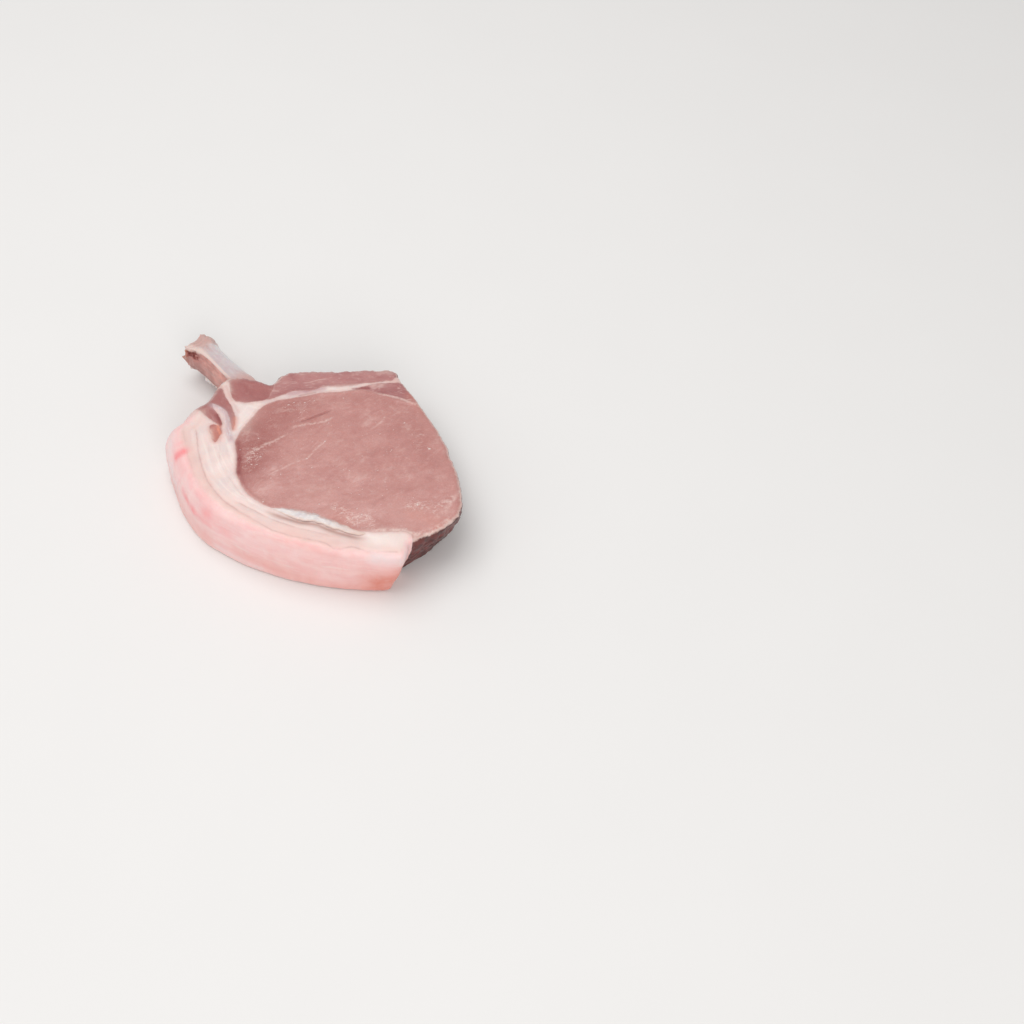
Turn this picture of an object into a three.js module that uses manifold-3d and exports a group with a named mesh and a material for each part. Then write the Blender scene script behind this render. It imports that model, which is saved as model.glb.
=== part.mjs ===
// Raw pork rib chop with its rind on and its rib bone scraped clean, lying on its cut face.
// Millimetres, +Z up. The upper cut face looks up, the rind faces -X and -Y, the bone points to -X +Y.
//
// The chop is one slab that is divided by columns: each muscle is a column of the slab, what is left
// between the muscles and the rind is the fat, and the rib bone lies in a pocket at mid thickness.

import * as THREE from "three";
import { mergeVertices } from "three/addons/utils/BufferGeometryUtils.js";
import Module from "manifold-3d";

const wasm = await Module();
wasm.setup();

// ---------------------------------------------------------------- driving dimensions

const THICKNESS = 28; // from the lower cut face to the crown of the upper one
const FACE_FALL = 1.2; // the upper face is this much lower at its rim than at its middle
const TOP_ROUND = 3; // radius of the upper edge
const FOOT_ROUND = 2; // radius of the lower edge
const GAP = 0.3; // clearance between neighbouring pieces

// The foot of the slab is its rim enlarged and shifted, so the rind leans out to the left.
const FOOT_SCALE = 1.03;
const FOOT_SHIFT = new THREE.Vector2(-8, -0.5);
const WALL_BULGE = 1.5; // how far the walls swell at mid height
const RIND_BULGE = 2.8; // extra swelling of the rind at the far left
const RIND_REACH = 58; // distance from the middle at which the rind swells in full
const RIND_FOCUS = 4; // higher keeps that extra swelling closer to the far left
const BULGE_SKEW = 1.5; // above 1 the swelling sits higher on the wall

// The lean end under the eye is cut back.
const UNDERCUT = new THREE.Vector2(-1, 7.5);
const UNDERCUT_PLACE = new THREE.Vector2(60, -28);
const UNDERCUT_REACH = 20;

// Rim of the upper face, counter-clockwise from the corner between the fat's end and the lean end.
const RIM = [
  [44, -41.7], [51.3, -37.5], [58.6, -33], [63, -27], [63.6, -19], [61.5, -8], [57.5, 3],
  [51.6, 16], [42.5, 29.8], [36.9, 38.4], [31.2, 47], [26, 50.8], [14, 50], [0, 48.2],
  [-14, 47.4], [-19.4, 45.2], [-24.6, 38.4], [-31.5, 40.8], [-39.5, 42], [-44.6, 38.6],
  [-48.8, 27.4], [-53.4, 22], [-56.4, 14.8], [-59.2, 10.2], [-57.8, 2.4], [-53.8, -6.4],
  [-47.8, -17.8], [-39.8, -27.4], [-30, -34.2], [-17, -40.4], [0, -45.6], [17.9, -48.4],
  [34, -49.2], [41, -48.8], [43, -45.6],
];

// Muscles, counter-clockwise. Where a muscle reaches the edge its outline runs on past the rim.
const LOIN_EYE = [
  [-34.8, 5], [-32.6, -4.5], [-31.8, -11.5], [-29, -17.6], [-24, -23.6], [-15.5, -28.8],
  [-6, -29.8], [3, -31.3], [12, -34.8], [22.9, -38.4], [33, -38], [41.5, -37.4], [44.8, -40.5],
  [46.5, -50], [62, -46], [74, -25], [72, 0], [62, 20], [45.5, 31.2], [36.1, 31.9], [23.5, 35.4],
  [14.5, 37], [5.9, 35.2], [-2.7, 33.6], [-11.5, 30.8], [-20.4, 28.3], [-26.7, 23.5],
  [-30.9, 15.9],
];
const RIB_LOBE = [
  [-25.4, 29], [-24, 33], [-23, 37], [-24, 46], [-40, 50], [-46, 43], [-42.6, 37.5],
  [-41.6, 32], [-39.6, 28], [-35.6, 26.4], [-30.2, 26.7],
];
const SIDE_STRIP = [
  [-26, 29], [-20.8, 30.8], [-15.5, 34], [-7.2, 34.9], [-1.1, 37.9], [8, 38.8], [16, 40.8],
  [25, 43], [28.4, 44.4], [29.5, 52], [0, 56], [-20, 54], [-28, 38],
];
const END_WEDGE = [
  [12.3, 37], [20, 35.2], [29.3, 32.8], [36.1, 30.6], [46, 28], [52, 36], [38, 46],
  [31.8, 42.8], [23, 41.5],
];
const FLANK_STREAK = [
  [-37, 10.4], [-36.8, 16], [-38.6, 21.2], [-41.4, 26], [-43.6, 30.6], [-45.4, 34.2],
  [-50, 36], [-52, 27.6], [-47.2, 24.6], [-43, 22.4], [-40.6, 19.4], [-38.8, 14.6],
];
const RIND_STREAK = [
  [-42.4, 12.8], [-43.2, 16.4], [-45.4, 19.8], [-47.6, 22.8], [-49.6, 28], [-55.6, 26],
  [-52.4, 21], [-49.4, 17.6], [-45.8, 14.9],
];
const SMALL_STREAK = [
  [-43.4, 3.6], [-41.8, 8], [-42.6, 10.8], [-45, 13], [-47.2, 12.2], [-46, 8],
];

// Rib bone: a bar that leaves the chop at the rear left and widens into a ragged end.
const BONE_HEADING = THREE.MathUtils.degToRad(137);
const BONE_OFFSET = 5; // of the bone's middle line from the plan's zero, towards the rear right
const BONE_HEIGHT = 14.5; // of its middle line above the lower cut face
const BONE_SQUARE = 3; // exponent of the section's superellipse, 2 is an ellipse
// One row for each section: distance along the heading, sideways shift, width, height.
const BONE_SECTIONS = [
  [46, -3.2, 5, 8], [50, -1.8, 8.4, 12], [56, -0.1, 11, 13.8], [64, 0.1, 11.2, 14],
  [74, 0.1, 11.2, 13.8], [82, 0.3, 11.8, 13.6], [87, 0.2, 13.4, 13.6], [91, 0, 15.2, 13.6],
  [94, -0.2, 14.2, 11.8], [95.8, -0.6, 10, 7.6],
];
const BONE_SIDES = 20;
const BONE_RAGGED = 0.7; // unevenness of the broken end

// Fineness of the solids.
const RIM_POINTS = 110;
const MUSCLE_STEP = 3; // spacing of the points on a muscle's outline
const FACE_RINGS = [0.2, 0.42, 0.62, 0.79, 0.91];
const WALL_LEVELS = 5;
const ROUND_STEPS = 3;

// Colours of the materials.
const LEAN = { roughness: 0.42, metalness: 0 };
const COLOURS = {
  fat: 0xf0dcd6, eye: 0xc48f86, strip: 0xb4787c, lobe: 0xaa6a6e, wedge: 0xb97a7a, streak: 0xb67f76,
  bone: 0xd0b7b0,
};

// ---------------------------------------------------------------- plan

/** Points at about equal spacing on the closed smooth curve through a list of [x, y]. */
function closedOutline(points, count) {
  const knots = points.map(([x, y]) => new THREE.Vector3(x, y, 0));
  const curve = new THREE.CatmullRomCurve3(knots, true, "catmullrom", 0.5);
  return curve.getSpacedPoints(count).slice(0, count).map((p) => new THREE.Vector2(p.x, p.y));
}

/** Point count that spaces a closed outline by about `step`. */
function countFor(points, step) {
  const knots = points.map(([x, y]) => new THREE.Vector3(x, y, 0));
  return Math.round(new THREE.CatmullRomCurve3(knots, true, "catmullrom", 0.5).getLength() / step);
}

/** Outward direction at each point of a counter-clockwise outline. */
function outwardDirections(outline) {
  const n = outline.length;
  return outline.map((_, i) => {
    const along = outline[(i + 1) % n].clone().sub(outline[(i + n - 1) % n]);
    return new THREE.Vector2(along.y, -along.x).normalize();
  });
}

/** The outline moved outwards by `distance`. */
function grown(outline, distance) {
  const out = outwardDirections(outline);
  return outline.map((p, i) => p.clone().addScaledVector(out[i], distance));
}

/** Where a plan point of the upper face lies at height z: the slab leans and is cut back at one end. */
function leaned(p, z) {
  const depth = 1 - z / THICKNESS;
  const near = Math.exp(-p.distanceToSquared(UNDERCUT_PLACE) / UNDERCUT_REACH ** 2);
  const foot = p.clone().multiplyScalar(FOOT_SCALE).add(FOOT_SHIFT).addScaledVector(UNDERCUT, near);
  return p.clone().lerp(foot, depth);
}

// ---------------------------------------------------------------- solids

/** Closed geometry through rings of equal point count, counter-clockwise seen against their order. */
function loft(rings) {
  const n = rings[0].length;
  const positions = rings.flat().flatMap((p) => [p.x, p.y, p.z]);
  const index = [];
  for (let k = 0; k < rings.length - 1; k += 1) {
    for (let j = 0; j < n; j += 1) {
      const a = k * n + j;
      const b = k * n + ((j + 1) % n);
      index.push(a, b, b + n, a, b + n, a + n);
    }
  }
  const last = (rings.length - 1) * n;
  for (const [i, j, k] of capTriangles(rings[0])) index.push(k, j, i);
  for (const [i, j, k] of capTriangles(rings[rings.length - 1])) index.push(last + i, last + j, last + k);
  const geometry = new THREE.BufferGeometry();
  geometry.setAttribute("position", new THREE.Float32BufferAttribute(positions, 3));
  geometry.setIndex(index);
  return geometry;
}

/** Triangles that fill a ring, worked out in the plane of its first and its middle direction. */
function capTriangles(ring) {
  const middle = ring.reduce((sum, p) => sum.add(p), new THREE.Vector3()).divideScalar(ring.length);
  const normal = new THREE.Vector3();
  ring.forEach((p, i) => {
    const a = p.clone().sub(middle);
    normal.add(a.cross(ring[(i + 1) % ring.length].clone().sub(middle)));
  });
  normal.normalize();
  const across = ring[0].clone().sub(middle).projectOnPlane(normal).normalize();
  const up = normal.clone().cross(across);
  const flat = ring.map((p) => {
    const a = p.clone().sub(middle);
    return new THREE.Vector2(a.dot(across), a.dot(up));
  });
  return THREE.ShapeUtils.triangulateShape(flat, []);
}

/** Manifold solid of a closed geometry. */
function toSolid(geometry) {
  geometry.deleteAttribute("normal");
  geometry.deleteAttribute("uv");
  const merged = mergeVertices(geometry, 1e-5);
  const mesh = new wasm.Mesh({
    numProp: 3,
    vertProperties: new Float32Array(merged.attributes.position.array),
    triVerts: new Uint32Array(merged.index.array),
  });
  return new wasm.Manifold(mesh);
}

/** three.js geometry of a Manifold solid. */
function toGeometry(solid) {
  const mesh = solid.getMesh();
  const geometry = new THREE.BufferGeometry();
  geometry.setAttribute("position", new THREE.BufferAttribute(mesh.vertProperties, 3));
  geometry.setIndex(new THREE.BufferAttribute(mesh.triVerts, 1));
  geometry.computeVertexNormals();
  return geometry;
}

/** Outward swelling of the wall at a rim point and a height. */
function bulgeAt(p, z) {
  const left = Math.max(0, -p.x / RIND_REACH) ** RIND_FOCUS;
  return (WALL_BULGE + RIND_BULGE * left) * Math.sin(Math.PI * (z / THICKNESS) ** BULGE_SKEW);
}

/** The whole chop without its bone: lower face, round foot, swelling wall, round shoulder, upper face. */
function slabSolid() {
  const rim = closedOutline(RIM, RIM_POINTS);
  const out = outwardDirections(rim);
  const ring = (z, inset) => rim.map((p, i) => {
    const q = leaned(p, z).addScaledVector(out[i], bulgeAt(p, z) - inset);
    return new THREE.Vector3(q.x, q.y, z);
  });
  const rimTop = THICKNESS - FACE_FALL;
  const rings = [];
  for (let k = 0; k <= ROUND_STEPS; k += 1) {
    const turn = (k / ROUND_STEPS) * (Math.PI / 2);
    rings.push(ring(FOOT_ROUND * (1 - Math.cos(turn)), FOOT_ROUND * (1 - Math.sin(turn))));
  }
  const wallTop = rimTop - TOP_ROUND;
  for (let k = 1; k < WALL_LEVELS; k += 1) {
    rings.push(ring(FOOT_ROUND + (wallTop - FOOT_ROUND) * (k / WALL_LEVELS), 0));
  }
  for (let k = 0; k <= ROUND_STEPS; k += 1) {
    const turn = (k / ROUND_STEPS) * (Math.PI / 2);
    rings.push(ring(wallTop + TOP_ROUND * Math.sin(turn), TOP_ROUND * (1 - Math.cos(turn))));
  }
  const edge = rings[rings.length - 1];
  for (const share of [...FACE_RINGS].reverse()) {
    const z = rimTop + FACE_FALL * (1 - share ** 2);
    rings.push(edge.map((p) => new THREE.Vector3(p.x * share, p.y * share, z)));
  }
  return toSolid(loft(rings));
}

/** A leaning column over a plan outline, from below the slab to above it. */
function columnSolid(outline) {
  const levels = [-2, THICKNESS / 2, THICKNESS + 2];
  return toSolid(loft(levels.map((z) => outline.map((p) => {
    const q = leaned(p, z);
    return new THREE.Vector3(q.x, q.y, z);
  }))));
}

/** The rib bone, made `extra` larger all round to cut its pocket. */
function boneSolid(extra) {
  const ahead = new THREE.Vector3(Math.cos(BONE_HEADING), Math.sin(BONE_HEADING), 0);
  const aside = new THREE.Vector3(Math.sin(BONE_HEADING), -Math.cos(BONE_HEADING), 0);
  const lastRow = BONE_SECTIONS.length - 1;
  const rings = BONE_SECTIONS.map(([along, shift, width, height], row) => {
    const end = row === 0 ? -extra : 0;
    const rough = Math.max(0, row - lastRow + 3) * BONE_RAGGED * (extra > 0 ? 0 : 1);
    return Array.from({ length: BONE_SIDES }, (_, j) => {
      const turn = -(j / BONE_SIDES) * 2 * Math.PI;
      const c = Math.cos(turn);
      const s = Math.sin(turn);
      const x = Math.sign(c) * Math.abs(c) ** (2 / BONE_SQUARE) * (width / 2 + extra);
      const z = Math.sign(s) * Math.abs(s) ** (2 / BONE_SQUARE) * (height / 2 + extra);
      const torn = rough * Math.sin(3 * turn + 1.7 * row) * Math.cos(5 * turn);
      return new THREE.Vector3(0, 0, BONE_HEIGHT + z)
        .addScaledVector(ahead, along + end + torn)
        .addScaledVector(aside, BONE_OFFSET + shift + x);
    });
  });
  return toSolid(loft(rings));
}

// ---------------------------------------------------------------- assembly

const group = new THREE.Group();

/** Adds a solid to the group as a named mesh with a material of its own. */
function addPiece(name, solid, colour, finish) {
  const material = new THREE.MeshStandardMaterial({ color: colour, ...finish });
  const mesh = new THREE.Mesh(toGeometry(solid), material);
  mesh.name = name;
  group.add(mesh);
}

const slab = slabSolid();
const pocket = boneSolid(GAP);
const meat = slab.subtract(pocket);

const muscles = [
  ["loin_eye", LOIN_EYE, COLOURS.eye],
  ["rib_lobe", RIB_LOBE, COLOURS.lobe],
  ["side_strip", SIDE_STRIP, COLOURS.strip],
  ["end_wedge", END_WEDGE, COLOURS.wedge],
  ["flank_streak", FLANK_STREAK, COLOURS.streak],
  ["rind_streak", RIND_STREAK, COLOURS.streak],
  ["small_streak", SMALL_STREAK, COLOURS.streak],
];

let fat = meat;
let taken = null; // room of the muscles made so far, with their clearance
for (const [name, points, colour] of muscles) {
  const outline = closedOutline(points, countFor(points, MUSCLE_STEP));
  const piece = meat.intersect(columnSolid(outline));
  const room = columnSolid(grown(outline, GAP));
  addPiece(name, taken ? piece.subtract(taken) : piece, colour, LEAN);
  fat = fat.subtract(room);
  taken = taken ? taken.add(room) : room;
}
addPiece("fat_cap", fat, COLOURS.fat, { roughness: 0.5, metalness: 0 });
addPiece("rib_bone", boneSolid(0), COLOURS.bone, { roughness: 0.55, metalness: 0 });

// The origin is the middle of the chop's footprint box, on the surface it lies on.
const box = new THREE.Box3().setFromObject(group);
const middle = box.getCenter(new THREE.Vector3());
group.position.set(-middle.x, -middle.y, -box.min.z);

export default group;
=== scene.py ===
"""Looks of a raw pork rib chop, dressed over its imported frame.

The chop is a slab cut across the loin. Its plan is drawn in millimetres round a point near the middle of
the eye muscle; every wall leans outwards towards the foot, and the rind bulges. One sheet of triangles
holds the plan with the border of every muscle in it, so that neighbours share their border points. Each
piece is that part of the sheet as upper and lower cut face, closed by walls between the two. Fields that
are worked out on the plan, such as the distance to the rim or to a vein, go into the meshes as
attributes, and the finishes read them.
"""

import logging
import math
from dataclasses import dataclass, field
from enum import Enum

import bpy
import numpy as np
from mathutils import Matrix, Vector
from mathutils.geometry import delaunay_2d_cdt


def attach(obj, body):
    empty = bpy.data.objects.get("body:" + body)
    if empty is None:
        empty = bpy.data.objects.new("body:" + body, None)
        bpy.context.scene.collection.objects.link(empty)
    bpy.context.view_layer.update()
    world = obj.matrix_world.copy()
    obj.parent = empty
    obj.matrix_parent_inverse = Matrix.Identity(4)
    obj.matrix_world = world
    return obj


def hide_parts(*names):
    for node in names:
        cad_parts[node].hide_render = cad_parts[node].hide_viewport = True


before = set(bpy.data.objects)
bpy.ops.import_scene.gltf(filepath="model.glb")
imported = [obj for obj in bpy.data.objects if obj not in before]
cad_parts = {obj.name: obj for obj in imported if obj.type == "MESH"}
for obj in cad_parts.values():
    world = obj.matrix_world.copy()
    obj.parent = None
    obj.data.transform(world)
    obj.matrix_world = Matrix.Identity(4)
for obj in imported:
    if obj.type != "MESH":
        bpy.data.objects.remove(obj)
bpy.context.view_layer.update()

Array = np.ndarray
Point = tuple[float, float]
Point3 = tuple[float, float, float]
Colour = tuple[float, float, float]

LOG = logging.getLogger("chop")
BODY = "root"
MM = 0.001
# The plan's origin, in frame millimetres.
PLAN_ZERO = np.array([3.9582, -11.1500])
# Points measured at a time, so that the distance tables stay small.
BLOCK = 1024
# Edges that turn by more than this are drawn sharp.
SHARP_ANGLE = math.radians(48.0)
# Share of the finer lumps in every noise.
NOISE_ROUGHNESS = 0.55


# ---- curves and fields in plan


def rise(low: float, high: float, value: Array) -> Array:
    """Goes from 0 at low to 1 at high along the smooth cubic 3t2 - 2t3."""
    share = np.clip((value - low) / (high - low), 0.0, 1.0)
    return share * share * (3.0 - 2.0 * share)


def hill(distance: Array, reach: float) -> Array:
    """A bell that is 1 at distance 0 and falls as exp(-(distance / reach) squared)."""
    return np.exp(-((distance / reach) ** 2))


def through(corners: Array, closed: bool, per_span: int = 24) -> Array:
    """Runs a smooth curve through a few points.

    Between neighbours b and c, with a before and d after them, the curve is the cubic that leaves b along
    (c - a) / 2 and arrives in c along (d - b) / 2.

    Args:
        corners: The points, one row each, of any dimension.
        closed: Whether the curve returns to its first point.
        per_span: Number of samples between two neighbours.

    Returns:
        Samples along the curve; an open one ends in its last point.
    """
    if closed:
        before, start, end, after = (np.roll(corners, k, axis=0) for k in (1, 0, -1, -2))
    else:
        padded = np.vstack([2 * corners[0] - corners[1], corners, 2 * corners[-1] - corners[-2]])
        before, start, end, after = padded[:-3], padded[1:-2], padded[2:-1], padded[3:]
    share = (np.arange(per_span) / per_span)[None, :, None]
    before, start, end, after = (part[:, None, :] for part in (before, start, end, after))
    leave, arrive = (end - before) / 2, (after - start) / 2
    cubic = (
        start
        + leave * share
        + (3 * (end - start) - 2 * leave - arrive) * share**2
        + (2 * (start - end) + leave + arrive) * share**3
    )
    curve = cubic.reshape(-1, corners.shape[1])
    return curve if closed else np.vstack([curve, corners[-1:]])


def even_steps(curve: Array, closed: bool, step: float) -> Array:
    """Puts points on a curve at equal steps of its length.

    Args:
        curve: Close samples of the curve.
        closed: Whether the last sample joins the first.
        step: Wanted distance between neighbours.

    Returns:
        The evenly spaced points.
    """
    chain = np.vstack([curve, curve[:1]]) if closed else curve
    reached = np.concatenate([[0.0], np.cumsum(np.linalg.norm(np.diff(chain, axis=0), axis=1))])
    count = max(3, round(reached[-1] / step))
    wanted = np.linspace(0.0, reached[-1], count + 1)
    if closed:
        wanted = wanted[:-1]
    return np.column_stack([np.interp(wanted, reached, chain[:, k]) for k in range(chain.shape[1])])


def course_path(course: tuple[Point, ...], step: float = 0.8) -> Array:
    """Points at equal steps along the smooth open curve through a few points."""
    return even_steps(through(np.array(course, float), False), False, step)


def outward(loop: Array) -> Array:
    """Unit normals of a counterclockwise loop: its chord between both neighbours, turned right."""
    chord = np.roll(loop, -1, axis=0) - np.roll(loop, 1, axis=0)
    normal = np.column_stack([chord[:, 1], -chord[:, 0]])
    return normal / np.linalg.norm(normal, axis=1)[:, None]


def inside(points: Array, loop: Array) -> Array:
    """Tells which points lie within a loop.

    A point is inside if a ray from it towards +X crosses the loop an odd number of times.
    """
    ahead = np.roll(loop, -1, axis=0)
    found = np.zeros(len(points), bool)
    near = np.nonzero(np.all((points > loop.min(0)) & (points < loop.max(0)), axis=1))[0]
    run_x, run_y = (ahead - loop).T
    slope = run_x / np.where(run_y == 0.0, 1.0, run_y)
    for first in range(0, len(near), BLOCK):
        chosen = near[first : first + BLOCK]
        x, y = points[chosen, 0][:, None], points[chosen, 1][:, None]
        spans = (loop[:, 1] > y) != (ahead[:, 1] > y)
        found[chosen] = (spans & (x < slope * (y - loop[:, 1]) + loop[:, 0])).sum(1) % 2 == 1
    return found


@dataclass(frozen=True)
class Nearness:
    """Where points lie relative to a path: distance, arc length at the foot, signed side, and its length."""

    distance: Array
    along: Array
    side: Array
    length: float

    def faded(self, start: float, end: float, early: float = 0.0) -> Array:
        """Rises from 0 to 1 over the first millimetres of the path and falls over its last."""
        return rise(early, start, self.along) * rise(early, end, self.length - self.along)


def nearness(points: Array, starts: Array, ends: Array) -> Nearness:
    """Measures points against a chain of straight pieces.

    The foot on a piece is start + t (end - start), with t held between 0 and 1; the nearest foot counts.

    Args:
        points: Plan points.
        starts: First ends of the pieces.
        ends: Second ends of the pieces.

    Returns:
        Distance, arc length up to the foot, the distance with the sign of the side (left is positive), and
        the length of the whole chain.
    """
    run = ends - starts
    length = np.linalg.norm(run, axis=1)
    reached = np.concatenate([[0.0], np.cumsum(length)[:-1]])
    distance, along, side = (np.empty(len(points)) for _ in range(3))
    for first in range(0, len(points), BLOCK):
        last = first + BLOCK
        offset_x = points[first:last, 0][:, None] - starts[:, 0]
        offset_y = points[first:last, 1][:, None] - starts[:, 1]
        share = np.clip((offset_x * run[:, 0] + offset_y * run[:, 1]) / length**2, 0.0, 1.0)
        square = (offset_x - share * run[:, 0]) ** 2 + (offset_y - share * run[:, 1]) ** 2
        best = square.argmin(1)
        row = np.arange(len(best))
        turn = run[best, 0] * offset_y[row, best] - run[best, 1] * offset_x[row, best]
        distance[first:last] = np.sqrt(square[row, best])
        along[first:last] = reached[best] + share[row, best] * length[best]
        side[first:last] = np.where(turn < 0, -1.0, 1.0) * distance[first:last]
    return Nearness(distance, along, side, length.sum())


def from_path(points: Array, path: Array) -> Nearness:
    """Measures points against an open path."""
    return nearness(points, path[:-1], path[1:])


def from_loop(points: Array, loop: Array) -> Nearness:
    """Measures points against a closed loop."""
    return nearness(points, loop, np.roll(loop, -1, axis=0))


@dataclass(frozen=True)
class Ripples:
    """Smooth seeded relief between about -1 and 1: a sum of sine waves that run every way through space."""

    longest: float
    shortest: float
    seed: int
    waves: int = 28
    falloff: float = 0.5
    calm: float = 1.6

    def at(self, points: Array) -> Array:
        """Sums amplitude * sin(wave . point + phase), with long waves the stronger.

        Args:
            points: Places in millimetres, with the coordinates along the last axis.

        Returns:
            The height at each place.
        """
        draw = np.random.default_rng(self.seed)
        length = np.geomspace(self.longest, self.shortest, self.waves)
        ways = draw.normal(size=(self.waves, points.shape[-1]))
        ways *= (2 * math.pi / length / np.linalg.norm(ways, axis=1))[:, None]
        strength = (length / self.longest) ** self.falloff
        strength /= math.sqrt((strength**2).sum() / 2) * self.calm
        return np.sin(points @ ways.T + draw.uniform(0, 2 * math.pi, self.waves)) @ strength


@dataclass(frozen=True)
class Outline:
    """A closed plan curve through a few points, with a natural wander along its run."""

    corners: tuple[Point, ...]
    wander: float = 0.22
    seed: int = 1
    longest: float = 26.0
    shortest: float = 1.8
    waves: int = 12
    falloff: float = 0.45
    calm: float = 3.2

    def loop(self, step: float) -> Array:
        """Points at equal steps, moved along the normal by a sum of whole-numbered sine waves."""
        plain = even_steps(through(np.array(self.corners, float), True), True, step)
        return plain + outward(plain) * (self.wander * self.waver(len(plain), len(plain) * step))[:, None]

    def waver(self, count: int, length: float) -> Array:
        """Sums sine waves, from the longest to the shortest, that close on themselves; about -1 to 1."""
        draw = np.random.default_rng(self.seed)
        share = np.arange(count) / count
        wavelengths = np.geomspace(self.longest, self.shortest, self.waves)
        cycles = np.maximum(1, np.round(length / wavelengths))
        phase = 2 * math.pi * (share[:, None] * cycles + draw.random(len(cycles)))
        return np.sin(phase) @ (wavelengths / wavelengths[0]) ** self.falloff / self.calm


# ---- the slab


@dataclass(frozen=True)
class Slab:
    """The form of the cut slice, in millimetres: thickness, rounds, and the lean and bulge of its walls."""

    thickness: float = 28.0
    face_fall: float = 1.2
    top_round: float = 3.0
    foot_round: float = 2.0
    foot_scale: float = 1.03
    foot_shift: Point = (-8.0, -0.5)
    undercut: Point = (-1.0, 7.5)
    undercut_place: Point = (60.0, -28.0)
    undercut_reach: float = 20.0
    wall_bulge: float = 1.5
    rind_bulge: float = 2.8
    rind_reach: float = 58.0
    rind_focus: float = 4.0
    bulge_skew: float = 1.5

    def leaned(self, plan: Array, height: Array) -> Array:
        """Slides a plan point towards its place in the foot, in step with the depth below the top.

        The foot is the plan scaled and shifted, with a pull inwards round one place on the lean end.
        """
        depth = (1.0 - height / self.thickness)[:, None]
        away = np.linalg.norm(plan - self.undercut_place, axis=1)
        pull = hill(away, self.undercut_reach)[:, None] * self.undercut
        foot = plan * self.foot_scale + self.foot_shift + pull
        return plan + (foot - plan) * depth

    def bulge(self, across: Array, height: Array) -> Array:
        """How far the wall stands out: a skewed half sine over the height, strongest on the rind side."""
        towards_rind = np.maximum(0.0, -across / self.rind_reach) ** self.rind_focus
        most = self.wall_bulge + self.rind_bulge * towards_rind
        return most * np.sin(math.pi * np.clip(height / self.thickness, 0.0, 1.0) ** self.bulge_skew)

    def top(self, rim_distance: Array, share: Array) -> Array:
        """Height of the plain upper face: a quarter round at the rim, then a crown of 1 - share squared."""
        shoulder = self.thickness - self.face_fall
        inward = np.maximum(0.0, self.top_round - rim_distance)
        curve = self.top_round - np.sqrt(np.maximum(0.0, self.top_round**2 - inward**2))
        return shoulder - curve + self.face_fall * (1.0 - np.minimum(1.0, share) ** 2)

    def foot(self, rim_distance: Array) -> Array:
        """Height of the plain lower face: flat, with a quarter round at the rim."""
        inward = np.maximum(0.0, self.foot_round - rim_distance)
        return self.foot_round - np.sqrt(np.maximum(0.0, self.foot_round**2 - inward**2))

    def placed(self, plan: Array, height: Array) -> Array:
        """Turns plan points with a height into frame coordinates in metres."""
        flat = self.leaned(plan, height) + PLAN_ZERO
        return np.column_stack([flat, height]) * MM


RIM = Outline((
    (44, -41.7), (51.3, -37.5), (58.6, -33), (63, -27), (63.6, -19), (61.5, -8), (57.5, 3), (51.6, 16),
    (42.5, 29.8), (36.9, 38.4), (31.2, 47), (26, 50.8), (14, 50), (0, 48.2), (-14, 47.4), (-19.4, 45.2),
    (-24.6, 38.4), (-31.5, 40.8), (-39.5, 42), (-44.6, 38.6), (-48.8, 27.4), (-53.4, 22), (-56.4, 14.8),
    (-59.2, 10.2), (-57.8, 2.4), (-53.8, -6.4), (-47.8, -17.8), (-39.8, -27.4), (-30, -34.2), (-17, -40.4),
    (0, -45.6), (17.9, -48.4), (34, -49.2), (41, -48.8), (43, -45.6),
), wander=0.0)


class Kind(Enum):
    """What a region of the cut face is made of."""

    EYE = "eye"
    SIDE = "side"
    DARK = "dark"
    FAT = "fat"


@dataclass(frozen=True)
class Muscle:
    """One muscle that the cut runs through; outlines that pass the rim end at it."""

    name: str
    slot: str
    kind: Kind
    outline: Outline


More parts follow.
